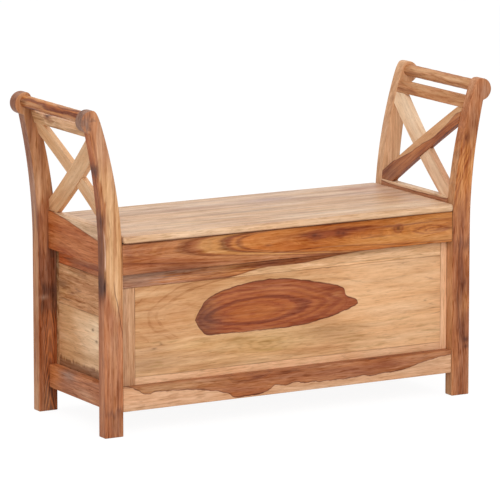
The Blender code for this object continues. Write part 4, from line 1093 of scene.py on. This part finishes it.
HEART_LINE = [(-150, 648), (-123, 633), (-92, 605), (-49, 572), (-4, 550), (33, 529), (112, 493),
              (150, 470)]
flat_outline = [(-RAIL_END, FLAT_RAIL_LOW), (RAIL_END, FLAT_RAIL_LOW), (RAIL_END, FLAT_RAIL_HIGH),
                (-RAIL_END, FLAT_RAIL_HIGH)]
for number, (side_name, side) in enumerate((("left", -1), ("right", 1))):
    right = side > 0
    node = "round_rail_" + side_name
    wood = arm_rail_wood(node, 51 + number, HONEY if right else AMBER,
                         (360, 145, 55) if right else (560, 260, 115))
    stands_for(round_rail(node + "_piece", side, wood), "chest", node)
    node = "flat_rail_" + side_name
    wood = arm_rail_wood(node, 53 + number, HONEY, (460, 180, 66) if right else (900, 500, 250),
                         None if right else (64, 677, 14, 7))
    flat = bent_piece(node + "_piece", flat_outline, 0, FLAT_RAIL_THICKNESS, side, wood)
    soften(flat, 0.0025)
    stands_for(flat, "chest", node)
    drops = {"inner": (0.012, 0.006) if right else (0, 0), "outer": (0, 0)}
    rises_to = {"inner": -side, "outer": side}
    meet = (LATH_NEAR["outer"] + LATH_NEAR["inner"] + LATH_THICKNESS) / 2
    well_inside, well_outside = -0.02, 0.03
    beyond = {"inner": (meet - LATH_GAP / 2, well_outside), "outer": (well_inside, meet + LATH_GAP / 2)}
    for which, other in (("inner", "outer"), ("outer", "inner")):
        name = f"{side_name}_{which}_lath"
        node = f"lath_{which}_{side_name}"
        wood = lath_wood(node, 55 + 2 * number + (which == "outer"), LATH_SLOPE * rises_to[which],
                         CREAM if right and which == "outer" else HONEY,
                         HEART_LINE if right and which == "inner" else None)
        lath = bent_piece(name, lath_outline(rises_to[which], *drops[which]), LATH_NEAR[which],
                          LATH_NEAR[which] + LATH_THICKNESS, side, wood)
        notch = bent_piece(name + "_notch", lath_outline(rises_to[other], *drops[other], extra=LATH_GAP),
                           *beyond[which], side, wood)
        half_lapped(lath, notch)
        soften(lath, 0.0016)
        stands_for(lath, "chest", node)


# Hinges. Two brass butt hinges on the back. Each has a leaf screwed to the back apron and one to the
# lid's back edge, with knuckles that turn on a brass pin. The screws have slotted heads, turned as they
# happened to come tight.

def brass():
    """Drawn brass, a little tarnished, with fine scratches along it."""
    material, tree, surface = new_material("hinge_brass")
    place = tree.node("ShaderNodeTexCoord").outputs["Object"]
    stain = tree.node("ShaderNodeTexNoise", place, None, 60, 3, 0.6).outputs[0]
    drawn = tree.vector("MULTIPLY", place, (120, 2500, 2500))
    scratch = tree.node("ShaderNodeTexNoise", drawn, None, 1, 2, 0.5).outputs[0]
    bump = tree.node("ShaderNodeBump", 0.2, 0.0001, named={"Height": scratch})
    shader = tree.node("ShaderNodeBsdfPrincipled", named={
        "Base Color": tree.mix(stain, (0.62, 0.44, 0.18, 1), (0.40, 0.26, 0.10, 1)), "Metallic": 1.0,
        "Roughness": tree.math("MULTIPLY_ADD", scratch, 0.2, 0.25), "Normal": bump.outputs[0]})
    tree.fill(surface, shader.outputs[0])
    return material


hinge_brass = brass()
for node_name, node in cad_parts.items():
    if node_name.startswith("hinge_"):
        node.data.materials.clear()
        node.data.materials.append(hinge_brass)


def slotted_screws_tree():
    """Each point of the given mesh becomes a screw whose head faces back, its slot turned at random."""
    tree, given = new_tree("slotted_screws", HeadRadius="Float", CrownRadius="Float", HeadHeight="Float",
                           ShankRadius="Float", ShankLength="Float", SlotWidth="Float", SlotDepth="Float",
                           Seed="Int")
    head = tree.node("GeometryNodeMeshCone", 36, 3, named={
        "Radius Top": given["CrownRadius"], "Radius Bottom": given["HeadRadius"],
        "Depth": given["HeadHeight"]})
    shank = tree.node("GeometryNodeMeshCone", 24, 6, named={
        "Radius Top": given["ShankRadius"], "Radius Bottom": tree.times(given["ShankRadius"], 0.35),
        "Depth": given["ShankLength"]})
    sunk = tree.node("GeometryNodeTransform", shank.outputs[0], named={
        "Translation": tree.combine(0, 0, tree.minus(0.0001, given["ShankLength"]))})
    whole = tree.node("GeometryNodeMeshBoolean", operation="UNION", named={"Mesh": head.outputs[0]})
    tree.fill(whole.inputs["Mesh"], sunk.outputs[0])
    cutter = tree.node("GeometryNodeMeshCube", tree.combine(
        tree.times(given["HeadRadius"], 3), given["SlotWidth"], tree.times(given["SlotDepth"], 2)))
    lifted = tree.node("GeometryNodeTransform", cutter.outputs[0], named={
        "Translation": tree.combine(0, 0, given["HeadHeight"])})
    slotted = tree.node("GeometryNodeMeshBoolean", whole.outputs[0], lifted.outputs[0],
                        operation="DIFFERENCE")
    come_tight = tree.node("FunctionNodeRandomValue", data_type="FLOAT")
    for label, value in (("Min", 0.0), ("Max", 3.1416), ("Seed", given["Seed"])):
        in_use = [socket for socket in come_tight.inputs if socket.name == label and socket.enabled]
        tree.fill(in_use[0], value)
    turned = next(socket for socket in come_tight.outputs if socket.enabled)
    spun = tree.node("FunctionNodeRotateEuler", tree.combine(radians(-90), 0, 0),
                     rotation_type="AXIS_ANGLE", space="LOCAL", named={"Axis": (0, 0, 1), "Angle": turned})
    set_in = tree.node("GeometryNodeInstanceOnPoints", given["Mesh"], named={
        "Instance": slotted.outputs[0], "Rotation": spun.outputs[0]})
    return finish_tree(tree, set_in.outputs[0], given)


slotted_screws = slotted_screws_tree()
HEAD_HEIGHT = 0.0007
for kind, body, seed in (("fixed", "chest", 3), ("moving", "lid", 8)):
    nodes = [f"hinge_{side}_{kind}_screw_{number}" for side in ("left", "right") for number in (1, 2)]
    places = bpy.data.meshes.new(kind + "_screw_places")
    places.from_pydata([((low.x + high.x) / 2, high.y - HEAD_HEIGHT, (low.z + high.z) / 2)
                        for low, high in map(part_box, nodes)], [], [])
    screws = grow(kind + "_screws", slotted_screws, places, HeadRadius=0.0028, CrownRadius=0.0021,
                  HeadHeight=HEAD_HEIGHT, ShankRadius=0.0015, ShankLength=0.012, SlotWidth=0.0007,
                  SlotDepth=0.0004, Seed=seed, Wood=hinge_brass)
    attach(screws, body)
    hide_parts(*nodes)
